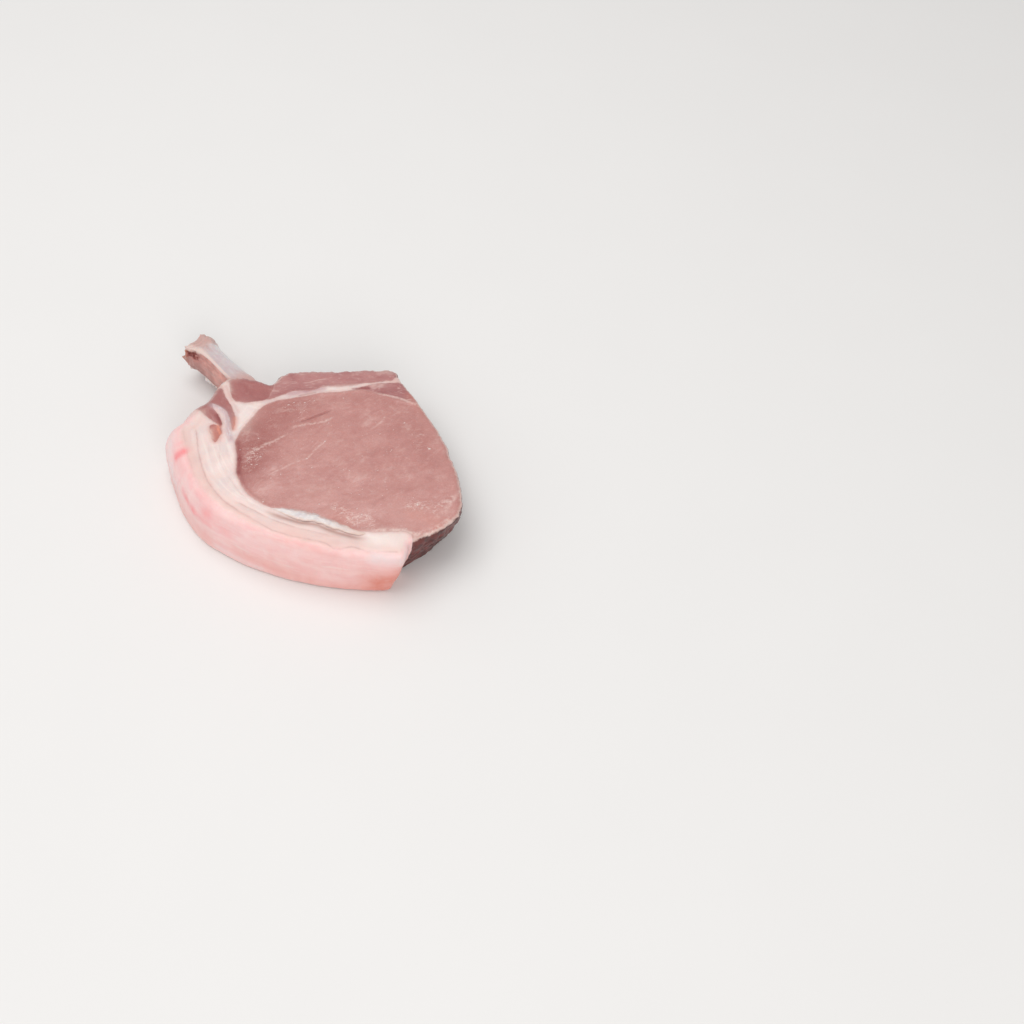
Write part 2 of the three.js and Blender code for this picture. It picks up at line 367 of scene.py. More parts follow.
MUSCLES = (
    Muscle("loin_eye", "loin_lean", Kind.EYE, Outline((
        (-34.8, 5), (-32.6, -4.5), (-31.8, -11.5), (-29, -17.6), (-24, -23.6), (-15.5, -28.8), (-6, -29.8),
        (3, -31.3), (12, -34.8), (22.9, -38.4), (33, -38), (41.5, -37.4), (44.8, -40.5), (46.5, -50),
        (62, -46), (74, -25), (72, 0), (62, 20), (45.5, 31.2), (36.1, 31.9), (23.5, 35.4), (14.5, 37),
        (5.9, 35.2), (-2.7, 33.6), (-11.5, 30.8), (-20.4, 28.3), (-26.7, 23.5), (-30.9, 15.9),
    ), wander=0.24, seed=11)),
    Muscle("rib_lobe", "dark_lean", Kind.DARK, Outline((
        (-25.4, 29), (-24, 33), (-23, 37), (-24, 46), (-40, 50), (-46, 43), (-42.6, 37.5), (-41.6, 32),
        (-39.6, 28), (-35.6, 26.4), (-30.2, 26.7),
    ), wander=0.3, seed=12)),
    Muscle("side_strip", "side_lean", Kind.SIDE, Outline((
        (-26, 29), (-20.8, 30.8), (-15.5, 34), (-7.2, 34.9), (-1.1, 37.9), (8, 38.8), (16, 40.8),
        (25, 43), (28.4, 44.4), (29.5, 52), (0, 56), (-20, 54), (-28, 38),
    ), wander=0.34, seed=13)),
    Muscle("end_wedge", "side_lean", Kind.SIDE, Outline((
        (12.3, 37), (20, 35.2), (29.3, 32.8), (36.1, 30.6), (46, 28), (52, 36), (38, 46), (31.8, 42.8),
        (23, 41.5),
    ), wander=0.3, seed=14)),
    Muscle("flank_streak", "dark_lean", Kind.DARK, Outline((
        (-37, 10.4), (-36.8, 16), (-38.6, 21.2), (-41.4, 26), (-43.6, 30.6), (-45.4, 34.2), (-50, 36),
        (-52, 27.6), (-47.2, 24.6), (-43, 22.4), (-40.6, 19.4), (-38.8, 14.6),
    ), wander=0.28, seed=15)),
    Muscle("rind_streak", "dark_lean", Kind.DARK, Outline((
        (-42.4, 12.8), (-43.2, 16.4), (-45.4, 19.8), (-47.6, 22.8), (-49.6, 28), (-55.6, 26), (-52.4, 21),
        (-49.4, 17.6), (-45.8, 14.9),
    ), wander=0.24, seed=16)),
    Muscle("small_streak", "dark_lean", Kind.DARK, Outline((
        (-43.4, 3.6), (-41.8, 8), (-42.6, 10.8), (-45, 13), (-47.2, 12.2), (-46, 8),
    ), wander=0.22, seed=17)),
)
FAT = len(MUSCLES)


@dataclass(frozen=True)
class Vein:
    """A line on the cut face: a pale vein in the lean or a line between two layers of fat."""

    course: tuple[Point, ...]
    width: float
    strength: float
    in_fat: bool = False


VEINS = (
    Vein(((-30, -3.7), (-26, 0), (-22.3, 3.3), (-19.6, 4.9), (-16.8, 6.8), (-13.5, 9.6)), 0.5, 0.55),
    Vein(((-12.4, 13.2), (-9.4, 14.4), (-6.9, 15.3), (-2.7, 16.2), (1.4, 17.8), (4.9, 20.3)), 0.45, 0.75),
    Vein(((-18.3, -12.5), (-13.5, -9.5), (-9.5, -6.5), (-4.6, -3.7), (-2.8, -2.3), (-0.5, 2.1), (2.9, 6.1)),
         0.4, 0.5),
    Vein(((15.6, -30.5), (17.7, -32.7), (19.8, -34.6), (22.7, -35.8)), 0.42, 0.7),
    Vein(((20.7, -34.2), (22.1, -32.1), (24, -30.5), (26.9, -31)), 0.36, 0.6),
    Vein(((22, 35.5), (25, 35), (28.4, 34.4), (32.9, 33.3), (37.4, 31.4), (41, 30.2), (44.8, 27.6),
          (47.7, 24.4)), 0.5, 0.9),
    Vein(((21.3, 14.4), (25.3, 18.5), (27, 22.2)), 0.45, 0.45),
    Vein(((41.3, 12.2), (42.5, 13.4), (44.2, 14), (45.6, 12.2)), 0.34, 0.5),
    Vein(((61.2, -15), (59.9, -19.7), (58.4, -22.4), (56.6, -26.1), (52.8, -30.4)), 0.8, 0.6),
    Vein(((27, -39.4), (30.4, -38), (34.1, -37.2), (40.3, -36.8), (44.2, -38), (49.2, -37.2), (54, -34.4),
          (60, -29)), 0.9, 0.9),
)

# Lines between the layers of fat: how strongly each shows, and its course.
FAT_LINES = (
    (0.55, ((-57.6, 11.2), (-56.1, 5.6), (-54.1, -0.2), (-51.9, -5.9), (-48.8, -12.7), (-45.8, -18.8),
            (-42, -24.8), (-36.6, -30), (-31, -34.1), (-24, -37.8), (-16, -41), (-8, -43))),
    (1.0, ((-53.3, 11.8), (-51.5, 5.9), (-50, 0.1), (-47.7, -6.2), (-45.3, -11.9), (-42.2, -17.4),
           (-38.4, -22.3), (-34.1, -26.5), (-29, -30.1), (-24, -33.1), (-19.1, -36), (-13.6, -38.9),
           (-6.9, -41.2), (-0.4, -42.6), (6, -43.6), (10.6, -44.9), (13.4, -46.6), (17, -46.6),
           (21.3, -45.8), (27.8, -47.6), (34.6, -47.2), (40.5, -47))),
    (0.45, ((-41.6, 6.6), (-41.1, 2.4), (-40.5, -2.3), (-39.6, -6))),
    (0.4, ((-37.1, -9), (-34.3, -14.6), (-29.5, -21.1), (-24.1, -26.4))),
    (0.2, ((-46.4, 4), (-44.6, -3), (-41.6, -10.4), (-38, -17))),
    (0.9, ((-29, -26.8), (-21, -30.9), (-14, -34.4), (-7, -36.9), (0, -38.7), (6, -39.9), (11, -40.9))),
)

# The short split in the eye, the film over the streaks, and both edges of the torn silverskin.
CLEFT = ((-10.9, 16.4), (-8.4, 17.4), (-4.8, 19.3), (-0.8, 21.6), (2.8, 24.2), (4.6, 25.6))
FILM = ((-50.6, 23.9), (-47.6, 23.4), (-44.2, 21.9), (-41.3, 18.6), (-39.7, 13.6), (-38.9, 9.2),
        (-37.3, 5.6), (-35.8, 2))
FLAP_UPPER = ((-18, -27.9), (-15.2, -29.2), (-11.1, -29.4), (-6.6, -29.5), (-2.4, -30.2), (2.6, -31.1),
              (7.4, -33), (13, -35), (19.1, -37.4), (23.3, -38.8), (27, -39.2))
FLAP_LOWER = ((-18.4, -28.7), (-14.8, -30.5), (-10.8, -31.9), (-5.8, -33.3), (-1.6, -34.4), (2, -34.7),
              (5.4, -35.2), (8.6, -36.4), (11.8, -37.6), (15, -38.6), (18.2, -39.5), (22.5, -40.3),
              (25.4, -40.4), (28, -39.6))


# ---- the cut face


@dataclass
class CutFace:
    """The plan of the slab as one sheet of triangles, with the owner of each and the fields on it."""

    slab: Slab
    rim_step: float = 0.55
    border_step: float = 0.5
    grid_step: float = 0.55
    merge: float = 1e-4
    least_area: float = 1e-6
    beside: float = 0.32
    cleft_step: float = 0.5
    cleft_side: Point = (-0.5, 0.86)
    cleft_spread: float = 0.35
    round_steps: int = 6
    round_margin: float = 0.3
    wall_fade: float = 3.0
    border_fade: float = 2.2
    crease: float = 0.09
    crease_waver: float = 0.08
    crease_reach: float = 0.5
    deep_crease: Point = (-34.0, -2.0)
    deep_crease_depth: float = 0.14
    deep_crease_reach: float = 15.0
    lower_crease: float = 0.14
    lean_swell: float = 0.2
    fat_swell: float = 0.13
    fat_drop: float = 0.12
    grain: float = 0.035
    grain_turn: float = math.radians(40.0)
    dark_crown: float = 0.35
    layer_depth: float = 0.1
    layer_reach: float = 0.7
    film_reach: float = 1.35
    film_height: float = 0.45
    cleft_depth: float = 0.55
    groove_depth: float = 1.0
    points: Array = field(init=False)
    triangles: Array = field(init=False)
    owner: Array = field(init=False)
    rim: Array = field(init=False)
    fields: dict[str, Array] = field(init=False, default_factory=dict)

    def build(self) -> "CutFace":
        """Cuts the sheet, finds whose every triangle is and measures the fields.

        Returns:
            The face itself.
        """
        self.rim = self.ragged_rim()
        loops = [muscle.outline.loop(self.border_step) for muscle in MUSCLES]
        self.cut(loops)
        self.measure()
        return self

    def ragged_rim(self) -> Array:
        """The rim, drawn in a little by small waves; the trimmed rear edge and the lean end most."""
        loop = RIM.loop(self.rim_step)
        rough = 0.12 + 0.5 * rise(36, 44, loop[:, 1]) + 0.28 * rise(44, 54, loop[:, 0])
        waver = Outline(RIM.corners, seed=5).waver(len(loop), len(loop) * self.rim_step)
        draw_in = rough * (waver - 1.0)
        return loop + outward(loop) * draw_in[:, None]

    def spread(self, loops: list[Array]) -> Array:
        """Lays out the free points: a hexagon grid, rings in the rim's round and rows beside each border.

        Args:
            loops: The muscles' outlines.

        Returns:
            Points that keep clear of the rim and of every outline.
        """
        low, high = self.rim.min(0), self.rim.max(0)
        rows = np.arange(low[1], high[1], self.grid_step * math.sqrt(0.75))
        columns = np.arange(low[0], high[0], self.grid_step)
        grid = np.stack(np.meshgrid(columns, rows), axis=-1)
        grid[1::2, :, 0] += self.grid_step / 2
        grid = grid.reshape(-1, 2)
        normal = outward(self.rim)
        turns = np.arange(1, self.round_steps + 1) * math.pi / 2 / self.round_steps
        depths = self.slab.top_round * (1 - np.cos(turns))
        rings = [self.rim - normal * depth for depth in depths]
        sides = [loop + outward(loop) * way * self.beside for loop in loops for way in (-1, 1)]
        cleft = course_path(CLEFT, self.cleft_step)
        across = np.array(self.cleft_side) * self.cleft_spread
        sides += [cleft + across * row for row in (-2, -1, 0, 1, 2)]

        grid = self.within(grid, self.slab.top_round + self.round_margin)
        pairs = zip(rings, depths)
        rings = [ring[from_loop(ring, self.rim).distance > 0.93 * depth] for ring, depth in pairs]
        sides = self.within(np.vstack(sides), 0.25)
        free = np.vstack([grid, *rings, sides])
        clear = np.min([from_loop(free, loop).distance for loop in loops], axis=0)
        in_grid = np.arange(len(free)) < len(grid)
        return free[clear > np.where(in_grid, self.beside * 1.6, self.beside * 0.6)]

    def within(self, points: Array, margin: float) -> Array:
        """The points that lie inside the rim by more than a margin."""
        points = points[inside(points, self.rim)]
        return points[from_loop(points, self.rim).distance > margin]

    def cut(self, loops: list[Array]) -> None:
        """Joins all points by a Delaunay triangulation that keeps the rim and every outline as edges.

        Args:
            loops: The muscles' outlines.
        """
        chains = [self.rim, *loops]
        starts = np.cumsum([0, *(len(chain) for chain in chains)])
        edges = [
            np.column_stack([np.arange(len(chain)), np.roll(np.arange(len(chain)), -1)]) + start
            for chain, start in zip(chains, starts)
        ]
        cloud = np.vstack([*chains, self.spread(loops)])
        plan = [Vector(point) for point in cloud.tolist()]
        found = delaunay_2d_cdt(plan, np.vstack(edges).tolist(), [], 0, self.merge)
        points = np.array([tuple(point) for point in found[0]])
        triangles = np.array(found[2])
        corner = points[triangles]
        turn = np.cross(corner[:, 1] - corner[:, 0], corner[:, 2] - corner[:, 0])
        triangles[turn < 0] = triangles[turn < 0][:, ::-1]
        middle = corner.mean(1)
        kept = inside(middle, self.rim) & (np.abs(turn) > self.least_area)
        triangles, middle = triangles[kept], middle[kept]
        owner = np.full(len(triangles), FAT)
        for index in reversed(range(len(loops))):
            owner[inside(middle, loops[index])] = index
        used, compact = np.unique(triangles, return_inverse=True)
        self.points, self.triangles, self.owner = points[used], compact.reshape(-1, 3), owner

    def borders(self) -> Array:
        """Pairs of points along every border between two owners."""
        edges = np.sort(self.triangles[:, [[0, 1], [1, 2], [2, 0]]].reshape(-1, 2), axis=1)
        whose = np.repeat(self.owner, 3)
        order = np.lexsort((edges[:, 1], edges[:, 0]))
        edges, whose = edges[order], whose[order]
        twin = np.all(edges[1:] == edges[:-1], axis=1) & (whose[1:] != whose[:-1])
        return edges[1:][twin]

    def measure(self) -> None:
        """Works out every field that heights and finishes need, in millimetres or as shares."""
        plan = self.points
        rim = from_loop(plan, self.rim)
        inner = self.rim - outward(self.rim) * self.slab.top_round
        angle, plan_angle = (np.arctan2(points[:, 1], points[:, 0]) for points in (inner, plan))
        reach = np.interp(plan_angle, angle, np.linalg.norm(inner, axis=1), period=2 * math.pi)
        ends = self.points[self.borders()]
        border = nearness(plan, ends[:, 0], ends[:, 1])
        mine = np.zeros(len(plan), int)
        mine[self.triangles] = self.owner[:, None]
        self.fields = {
            "rind": 1.0 - rise(15.0, 25.0, plan[:, 1]),
            "rim": np.where(rim.distance < 0.02, 0.0, rim.distance),
            "rim_along": rim.along,
            "share": np.linalg.norm(plan, axis=1) / reach,
            "border": border.distance,
            "owner": mine,
            "film": self.beside_course(plan, FILM, self.film_reach, 3.0),
            # Painted shadow: a band below the torn silverskin, where the finish darkens the fat.
            "under": self.beside_course(plan + [0.0, 0.8], FLAP_LOWER, 1.2, 9.0),
            **self.vein_fields(plan),
        }

    def beside_course(self, plan: Array, course: tuple[Point, ...], reach: float, taper: float) -> Array:
        """A bell across a course that fades in and out over a length at its ends."""
        found = from_path(plan, course_path(course))
        return hill(found.distance, reach) * found.faded(taper, taper)

    def vein_fields(self, plan: Array) -> dict[str, Array]:
        """Measures every point against the nearest vein.

        Args:
            plan: The sheet's points.

        Returns:
            Distance, signed side, width and strength of the nearest vein; the strength tapers to the ends.
        """
        near = np.full(len(plan), np.inf)
        names = ("vein_near", "vein_side", "vein_width", "vein_gain", "layer")
        values = {name: np.zeros(len(plan)) for name in names}
        layers = tuple(Vein(course, 0.5, strength, True) for strength, course in FAT_LINES)
        for vein in VEINS + layers:
            found = from_path(plan, course_path(vein.course))
            closer = found.distance < near
            near = np.where(closer, found.distance, near)
            gain = vein.strength * found.faded(2.5, 2.5, -0.5)
            fresh = (found.distance, found.side, vein.width, gain * (not vein.in_fat), gain * vein.in_fat)
            for name, value in zip(names, fresh):
                values[name] = np.where(closer, value, values[name])
        return values

    def upper(self) -> Array:
        """Height of the upper cut face at every point: the slab's crown, less creases, plus relief.

        A crease is a narrow bell along a border; its depth wavers, and it is deepest at the eye's left end.
        """
        plan, fields = self.points, self.fields
        away = rise(0.0, self.border_fade, fields["border"])
        fade = rise(0.0, self.wall_fade, fields["rim"])
        kinds = np.array([muscle.kind.value for muscle in MUSCLES] + [Kind.FAT.value])[fields["owner"]]
        lean = np.where(kinds == Kind.FAT.value, 0.0, 1.0)
        height = self.slab.top(fields["rim"], fields["share"])
        depth = np.clip(self.crease + self.crease_waver * Ripples(14, 4, 25).at(plan), 0.01, 0.3)
        to_deepest = np.linalg.norm(plan - self.deep_crease, axis=1)
        depth += self.deep_crease_depth * hill(to_deepest, self.deep_crease_reach)
        height -= depth * hill(fields["border"], self.crease_reach) * rise(0.3, 2.5, fields["rim"])
        swell = self.lean_swell * (Ripples(34, 9, 21).at(plan) - 1.0)
        sin, cos = math.sin(self.grain_turn), math.cos(self.grain_turn)
        along = plan @ np.array([[cos, -sin], [sin, cos]])
        grain = self.grain * Ripples(5.2, 1.6, 22).at(along * [0.7, 1.0])
        height += lean * away * fade * (swell + grain)
        height += (1 - lean) * away * fade * (self.fat_swell * Ripples(22, 5, 23).at(plan) - self.fat_drop)
        height += fade * (self.flap_groove(plan) - self.cleft(plan) - (1 - lean) * self.fat_steps(plan))
        crown = self.dark_crown * (1 - hill(fields["border"], 3.0)) * (kinds == Kind.DARK.value)
        height += lean * fade * away * crown + self.film_height * fade * fields["film"]
        return np.minimum(height, self.slab.thickness - 0.05)

    def lower(self) -> Array:
        """Height of the lower cut face: pressed flat, with a faint crease along each border."""
        fields = self.fields
        fade = rise(0.0, self.wall_fade, fields["rim"])
        crease = self.lower_crease * hill(fields["border"], self.crease_reach)
        dimples = 0.08 * np.maximum(0.0, Ripples(16, 3, 24).at(self.points))
        return self.slab.foot(fields["rim"]) + fade * (crease + dimples)

    def cleft(self, plan: Array) -> Array:
        """Depth of the short split in the eye: a narrow bell across its course, tapering to both ends."""
        return self.cleft_depth * self.beside_course(plan, CLEFT, 0.55, 4.0)

    def flap_groove(self, plan: Array) -> Array:
        """The hollow below the torn silverskin, negative down: steep towards the eye, easy to the rind."""
        found = from_path(plan, course_path(FLAP_LOWER))
        reach = np.where(found.side < 0, 1.9, 1.3)
        bell = hill(found.distance, reach) * found.faded(14.0, 6.0)
        return -self.groove_depth * bell * rise(0.0, 0.8, self.fields["border"])

    def height_near(self, plan: Array, heights: Array) -> Array:
        """Height of the cut face at the sheet's point nearest to each given one."""
        found = np.empty(len(plan))
        for first in range(0, len(plan), BLOCK // 4):
            block = plan[first : first + BLOCK // 4]
            square = ((block[:, None] - self.points) ** 2).sum(2)
            found[first : first + len(block)] = heights[square.argmin(1)]
        return found

    def fat_steps(self, plan: Array) -> Array:
        """Depth of the lines between the layers of fat: narrow bells across their courses."""
        bells = [
            strength * hill(from_path(plan, course_path(course)).distance, self.layer_reach)
            for strength, course in FAT_LINES
        ]
        return self.layer_depth * np.max(bells, axis=0)


# ---- meshes


def mesh_object(name: str, points: Array, faces: list[Array], fields: dict[str, Array]) -> bpy.types.Object:
    """Puts arrays into a mesh object that sits at the origin.

    Args:
        name: Name of the piece.
        points: Places in metres.
        faces: Blocks of faces, each with the same number of corners in all its rows.
        fields: Values for each point, kept as attributes.

    Returns:
        The object, linked to the scene, shaded smooth.
    """
    mesh = bpy.data.meshes.new(name)
    sizes = np.concatenate([np.full(len(block), block.shape[1]) for block in faces])
    corners = np.concatenate([block.ravel() for block in faces])
    mesh.vertices.add(len(points))
    mesh.vertices.foreach_set("co", points.astype(np.float32).ravel())
    mesh.loops.add(len(corners))
    mesh.loops.foreach_set("vertex_index", corners.astype(np.int32))
    mesh.polygons.add(len(sizes))
    mesh.polygons.foreach_set("loop_start", np.concatenate([[0], np.cumsum(sizes)[:-1]]).astype(np.int32))
    mesh.update(calc_edges=True)
    mesh.validate()
    for label, values in fields.items():
        attribute = mesh.attributes.new(label, "FLOAT", "POINT")
        attribute.data.foreach_set("value", np.asarray(values, np.float32))
    mesh.shade_smooth()
    mesh.set_sharp_from_angle(angle=SHARP_ANGLE)
    piece = bpy.data.objects.new(name, mesh)
    bpy.context.scene.collection.objects.link(piece)
    return piece


def settle(
    piece: bpy.types.Object, slot: str, material: bpy.types.Material, *nodes: str
) -> bpy.types.Object:
    """Gives a piece its finish and its body, and hides the CAD nodes that it replaces.

    Args:
        piece: The finished object.
        slot: Material slot of the record; not used.
        material: The finish.
        nodes: CAD nodes that the piece replaces.

    Returns:
        The piece.
    """
    piece.data.materials.append(material)
    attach(piece, BODY)
    if nodes:
        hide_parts(*nodes)
    LOG.info("%s: %d faces", piece.name, len(piece.data.polygons))
    return piece


@dataclass(frozen=True)
class Mark:
    """A soft patch or streak of colour: a capsule from start to end, in plan millimetres and height."""

    start: Point3
    end: Point3
    reach: float
    strength: float = 1.0

    def at(self, place: Array) -> Array:
        """Strength times exp(-(distance to the line from start to end / reach) squared)."""
        run = np.subtract(self.end, self.start)
        offset = place - self.start
        share = np.clip(offset @ run / max(1e-9, run @ run), 0.0, 1.0)[:, None]
        return self.strength * hill(np.linalg.norm(offset - share * run, axis=1), self.reach)


MARKS = {
    "tone": (
        Mark((-24, 12, 27), (-14, 24, 27), 10, -0.58),
        # Painted shadow: this one darkens the eye's left end, inside the border where the eye stands proud.
        Mark((-31.5, 3, 27), (-30, -9, 27), 9.5, -1.0),
        Mark((-10, -22, 27), (20, -28, 27), 9, 0.7),
        Mark((5, 2, 27), (25, 8, 27), 11, 0.15),
        Mark((36, -31, 27), (52, -27, 27), 7, 0.9),
        Mark((36, 22, 27), (46, 2, 27), 8, -0.23),
        Mark((24, 38.5, 27), (35, 36.5, 27), 4.5, -0.4),
        Mark((-29, 6, 27), (-25, -8, 27), 6, -0.3),
    ),
    "warm": (
        Mark((-43.6, 11, 27), (-42.1, 8.2, 27), 0.6, 1.0),
        Mark((-44.6, 10, 27), (-43.6, 6, 27), 3, 0.45),
        Mark((-37.4, 17, 27), (-36.9, 11, 27), 1.2, 0.6),
        Mark((-44.2, 12.6, 27), (-43, 12, 27), 0.7, 0.8),
        Mark((44, -28, 27), (53, -32, 27), 4, 0.14),
        Mark((12, -31, 27), (16, -33, 27), 4, 0.14),
        Mark((38, 36, 27), (45, 29, 27), 3.0, 0.4),
    ),
    # Dark red lines: blood along some borders; the last three are a painted shadow inside the eye's left
    # border, where the eye stands proud.
    "blood": (
        Mark((11.3, 37.3, 27), (18.3, 38.4, 27), 0.6, 0.8),
        Mark((-11.5, 31.6, 27), (-5, 33.9, 27), 0.6, 0.6),
        Mark((-45.4, 18.4, 27), (-43.2, 13.6, 27), 0.8, 0.85),
        Mark((-43.2, 13.6, 27), (-42.2, 8.6, 27), 0.55, 0.7),
        Mark((-8.4, 17, 27), (2.8, 24.2, 27), 0.7, 0.35),
        Mark((-17, 44, 27), (-16, 41, 27), 1.2, 0.3),
        Mark((-34.1, 4, 27), (-32, -5, 27), 1.1, 0.6),
        Mark((-32, -5, 27), (-31.2, -12, 27), 1.2, 0.7),
        Mark((-31.2, -12, 27), (-28.2, -17.6, 27), 1.0, 0.45),
    ),
    "stain": (
        Mark((-59.4, -2.8, 23.4), (-56.2, -1.6, 26), 2.0, 1.0),
        Mark((-60.5, 2.6, 23.6), (-57.6, 3.2, 25.8), 1.0, 0.36),
        Mark((-54.4, -8.4, 23.8), (-54, -9.5, 23.8), 3.2, 0.26),
        Mark((-51.1, -13.6, 24.8), (-49.7, -18.8, 23.4), 1.4, 0.32),
        Mark((-55.1, -16.7, 18.7), (-53.1, -20.1, 16.6), 1.7, 0.4),
        Mark((-53.1, -20.1, 16.6), (-49.8, -24.9, 16.2), 2.0, 0.5),
        Mark((-49.8, -24.9, 16.2), (-41.2, -32.4, 16.2), 1.9, 0.4),
        Mark((-42.6, -29.6, 21.3), (-41.4, -30.4, 21.3), 3.2, 0.55),
        Mark((-35.5, -35.1, 17.6), (-33, -36.4, 17), 3.0, 0.32),
        Mark((-46.3, -22.2, 23.7), (-45.5, -23, 23.7), 2.4, 0.26),
    ),
    "lilac": (
        Mark((-64.3, 6.1, 22.3), (-61.3, -8.2, 14.2), 3.4, 0.6),
        Mark((30, -49, 24.6), (41, -48, 23), 3.0, 0.9),
        Mark((-40, -34, 4), (-20, -43.5, 3), 1.6, 0.5),
    ),
    # Deeper rose on the rind, mostly low on the wall and at the lower right: partly its own colour, partly
    # painted shade where less light reaches.
    "deep": (
        Mark((8, -51, -1), (38, -52, 5), 6, 0.5),
        Mark((33, -51, 9), (42, -51, 13), 8.5, 0.9),
        Mark((-12, -47, 14), (24, -51, 16), 7, 0.2),
        Mark((-20, -41.5, 25), (14, -49, 25), 2.4, 0.16),
        Mark((-30, -41, 9), (0, -49, 4), 4.5, 0.35),
        Mark((-62, 3, 3), (-45, -32, 6), 6, 0.3),
    ),
    "bruise": (
        Mark((-16, 32.6, 27), (-9, 34.6, 27), 1.5, 0.75),
        Mark((-9, 34.6, 27), (-1.5, 36.6, 27), 1.3, 0.7),
        Mark((-31, 28, 27), (-22, 29, 27), 1.6, 0.25),
    ),
    "cream": (
        Mark((28, -42.5, 27), (40, -42, 27), 4.0, 0.9),
        Mark((-34, 21, 27), (-34, 12, 27), 5.0, 0.5),
        Mark((-57.5, 13, 27), (-53.5, 19, 27), 3.0, 0.7),
        Mark((-46, 39, 27), (-43, 33, 27), 1.8, 0.9),
        Mark((-47, 39, 25), (-40, 41.5, 25), 2.2, 0.8),
        Mark((-1, 36.6, 27), (12, 39, 27), 1.6, 0.6),
        Mark((-14, 46, 27), (2, 47.4, 27), 1.3, 0.35),
        Mark((21, 49.6, 26), (27, 48, 26), 1.6, 0.5),
        Mark((-46.8, 9.5, 27), (-45.6, 5.5, 27), 1.3, 0.9),
    ),
    "thin": (
        Mark((-44.6, 35.5, 27), (-40.6, 27.5, 27), 1.1, 0.8),
        Mark((-39.5, 25.5, 27), (-36.8, 21, 27), 0.9, 0.5),
        Mark((14, 39.6, 27), (28, 43.4, 27), 1.1, 0.45),
    ),
    "rosy": (
        Mark((-38, -30, 26.5), (-5, -43, 26.5), 3.6, 0.7),
        Mark((-5, -43, 26.5), (14, -46, 26.5), 3.6, 0.9),
        Mark((-12, -36.5, 27), (14, -41.5, 27), 2.0, 0.35),
    ),
    "frost": (
        Mark((-28.3, -7, 27), (-26, -3, 27), 4.0, 0.75),
        Mark((-26, 0, 27), (-19, 5, 27), 3.0, 0.6),
        Mark((-18, 24, 27), (-6, 28.6, 27), 4.0, 0.45),
        Mark((12, -28, 27), (20, -33.6, 27), 3.4, 0.9),
        Mark((22.6, -30.6, 27), (27.6, -35, 27), 3.2, 1.0),
        Mark((42.4, -24.7, 27), (47, -23.6, 27), 3.0, 1.0),
        Mark((52, -26, 27), (58.5, -19, 27), 2.6, 0.8),
        Mark((2, 4, 27), (6, 10, 27), 3.0, 0.3),
        Mark((30, -8, 27), (34, -16, 27), 4.0, 0.3),
        Mark((36, 18, 27), (44, 8, 27), 3.0, 0.4),
    ),
}


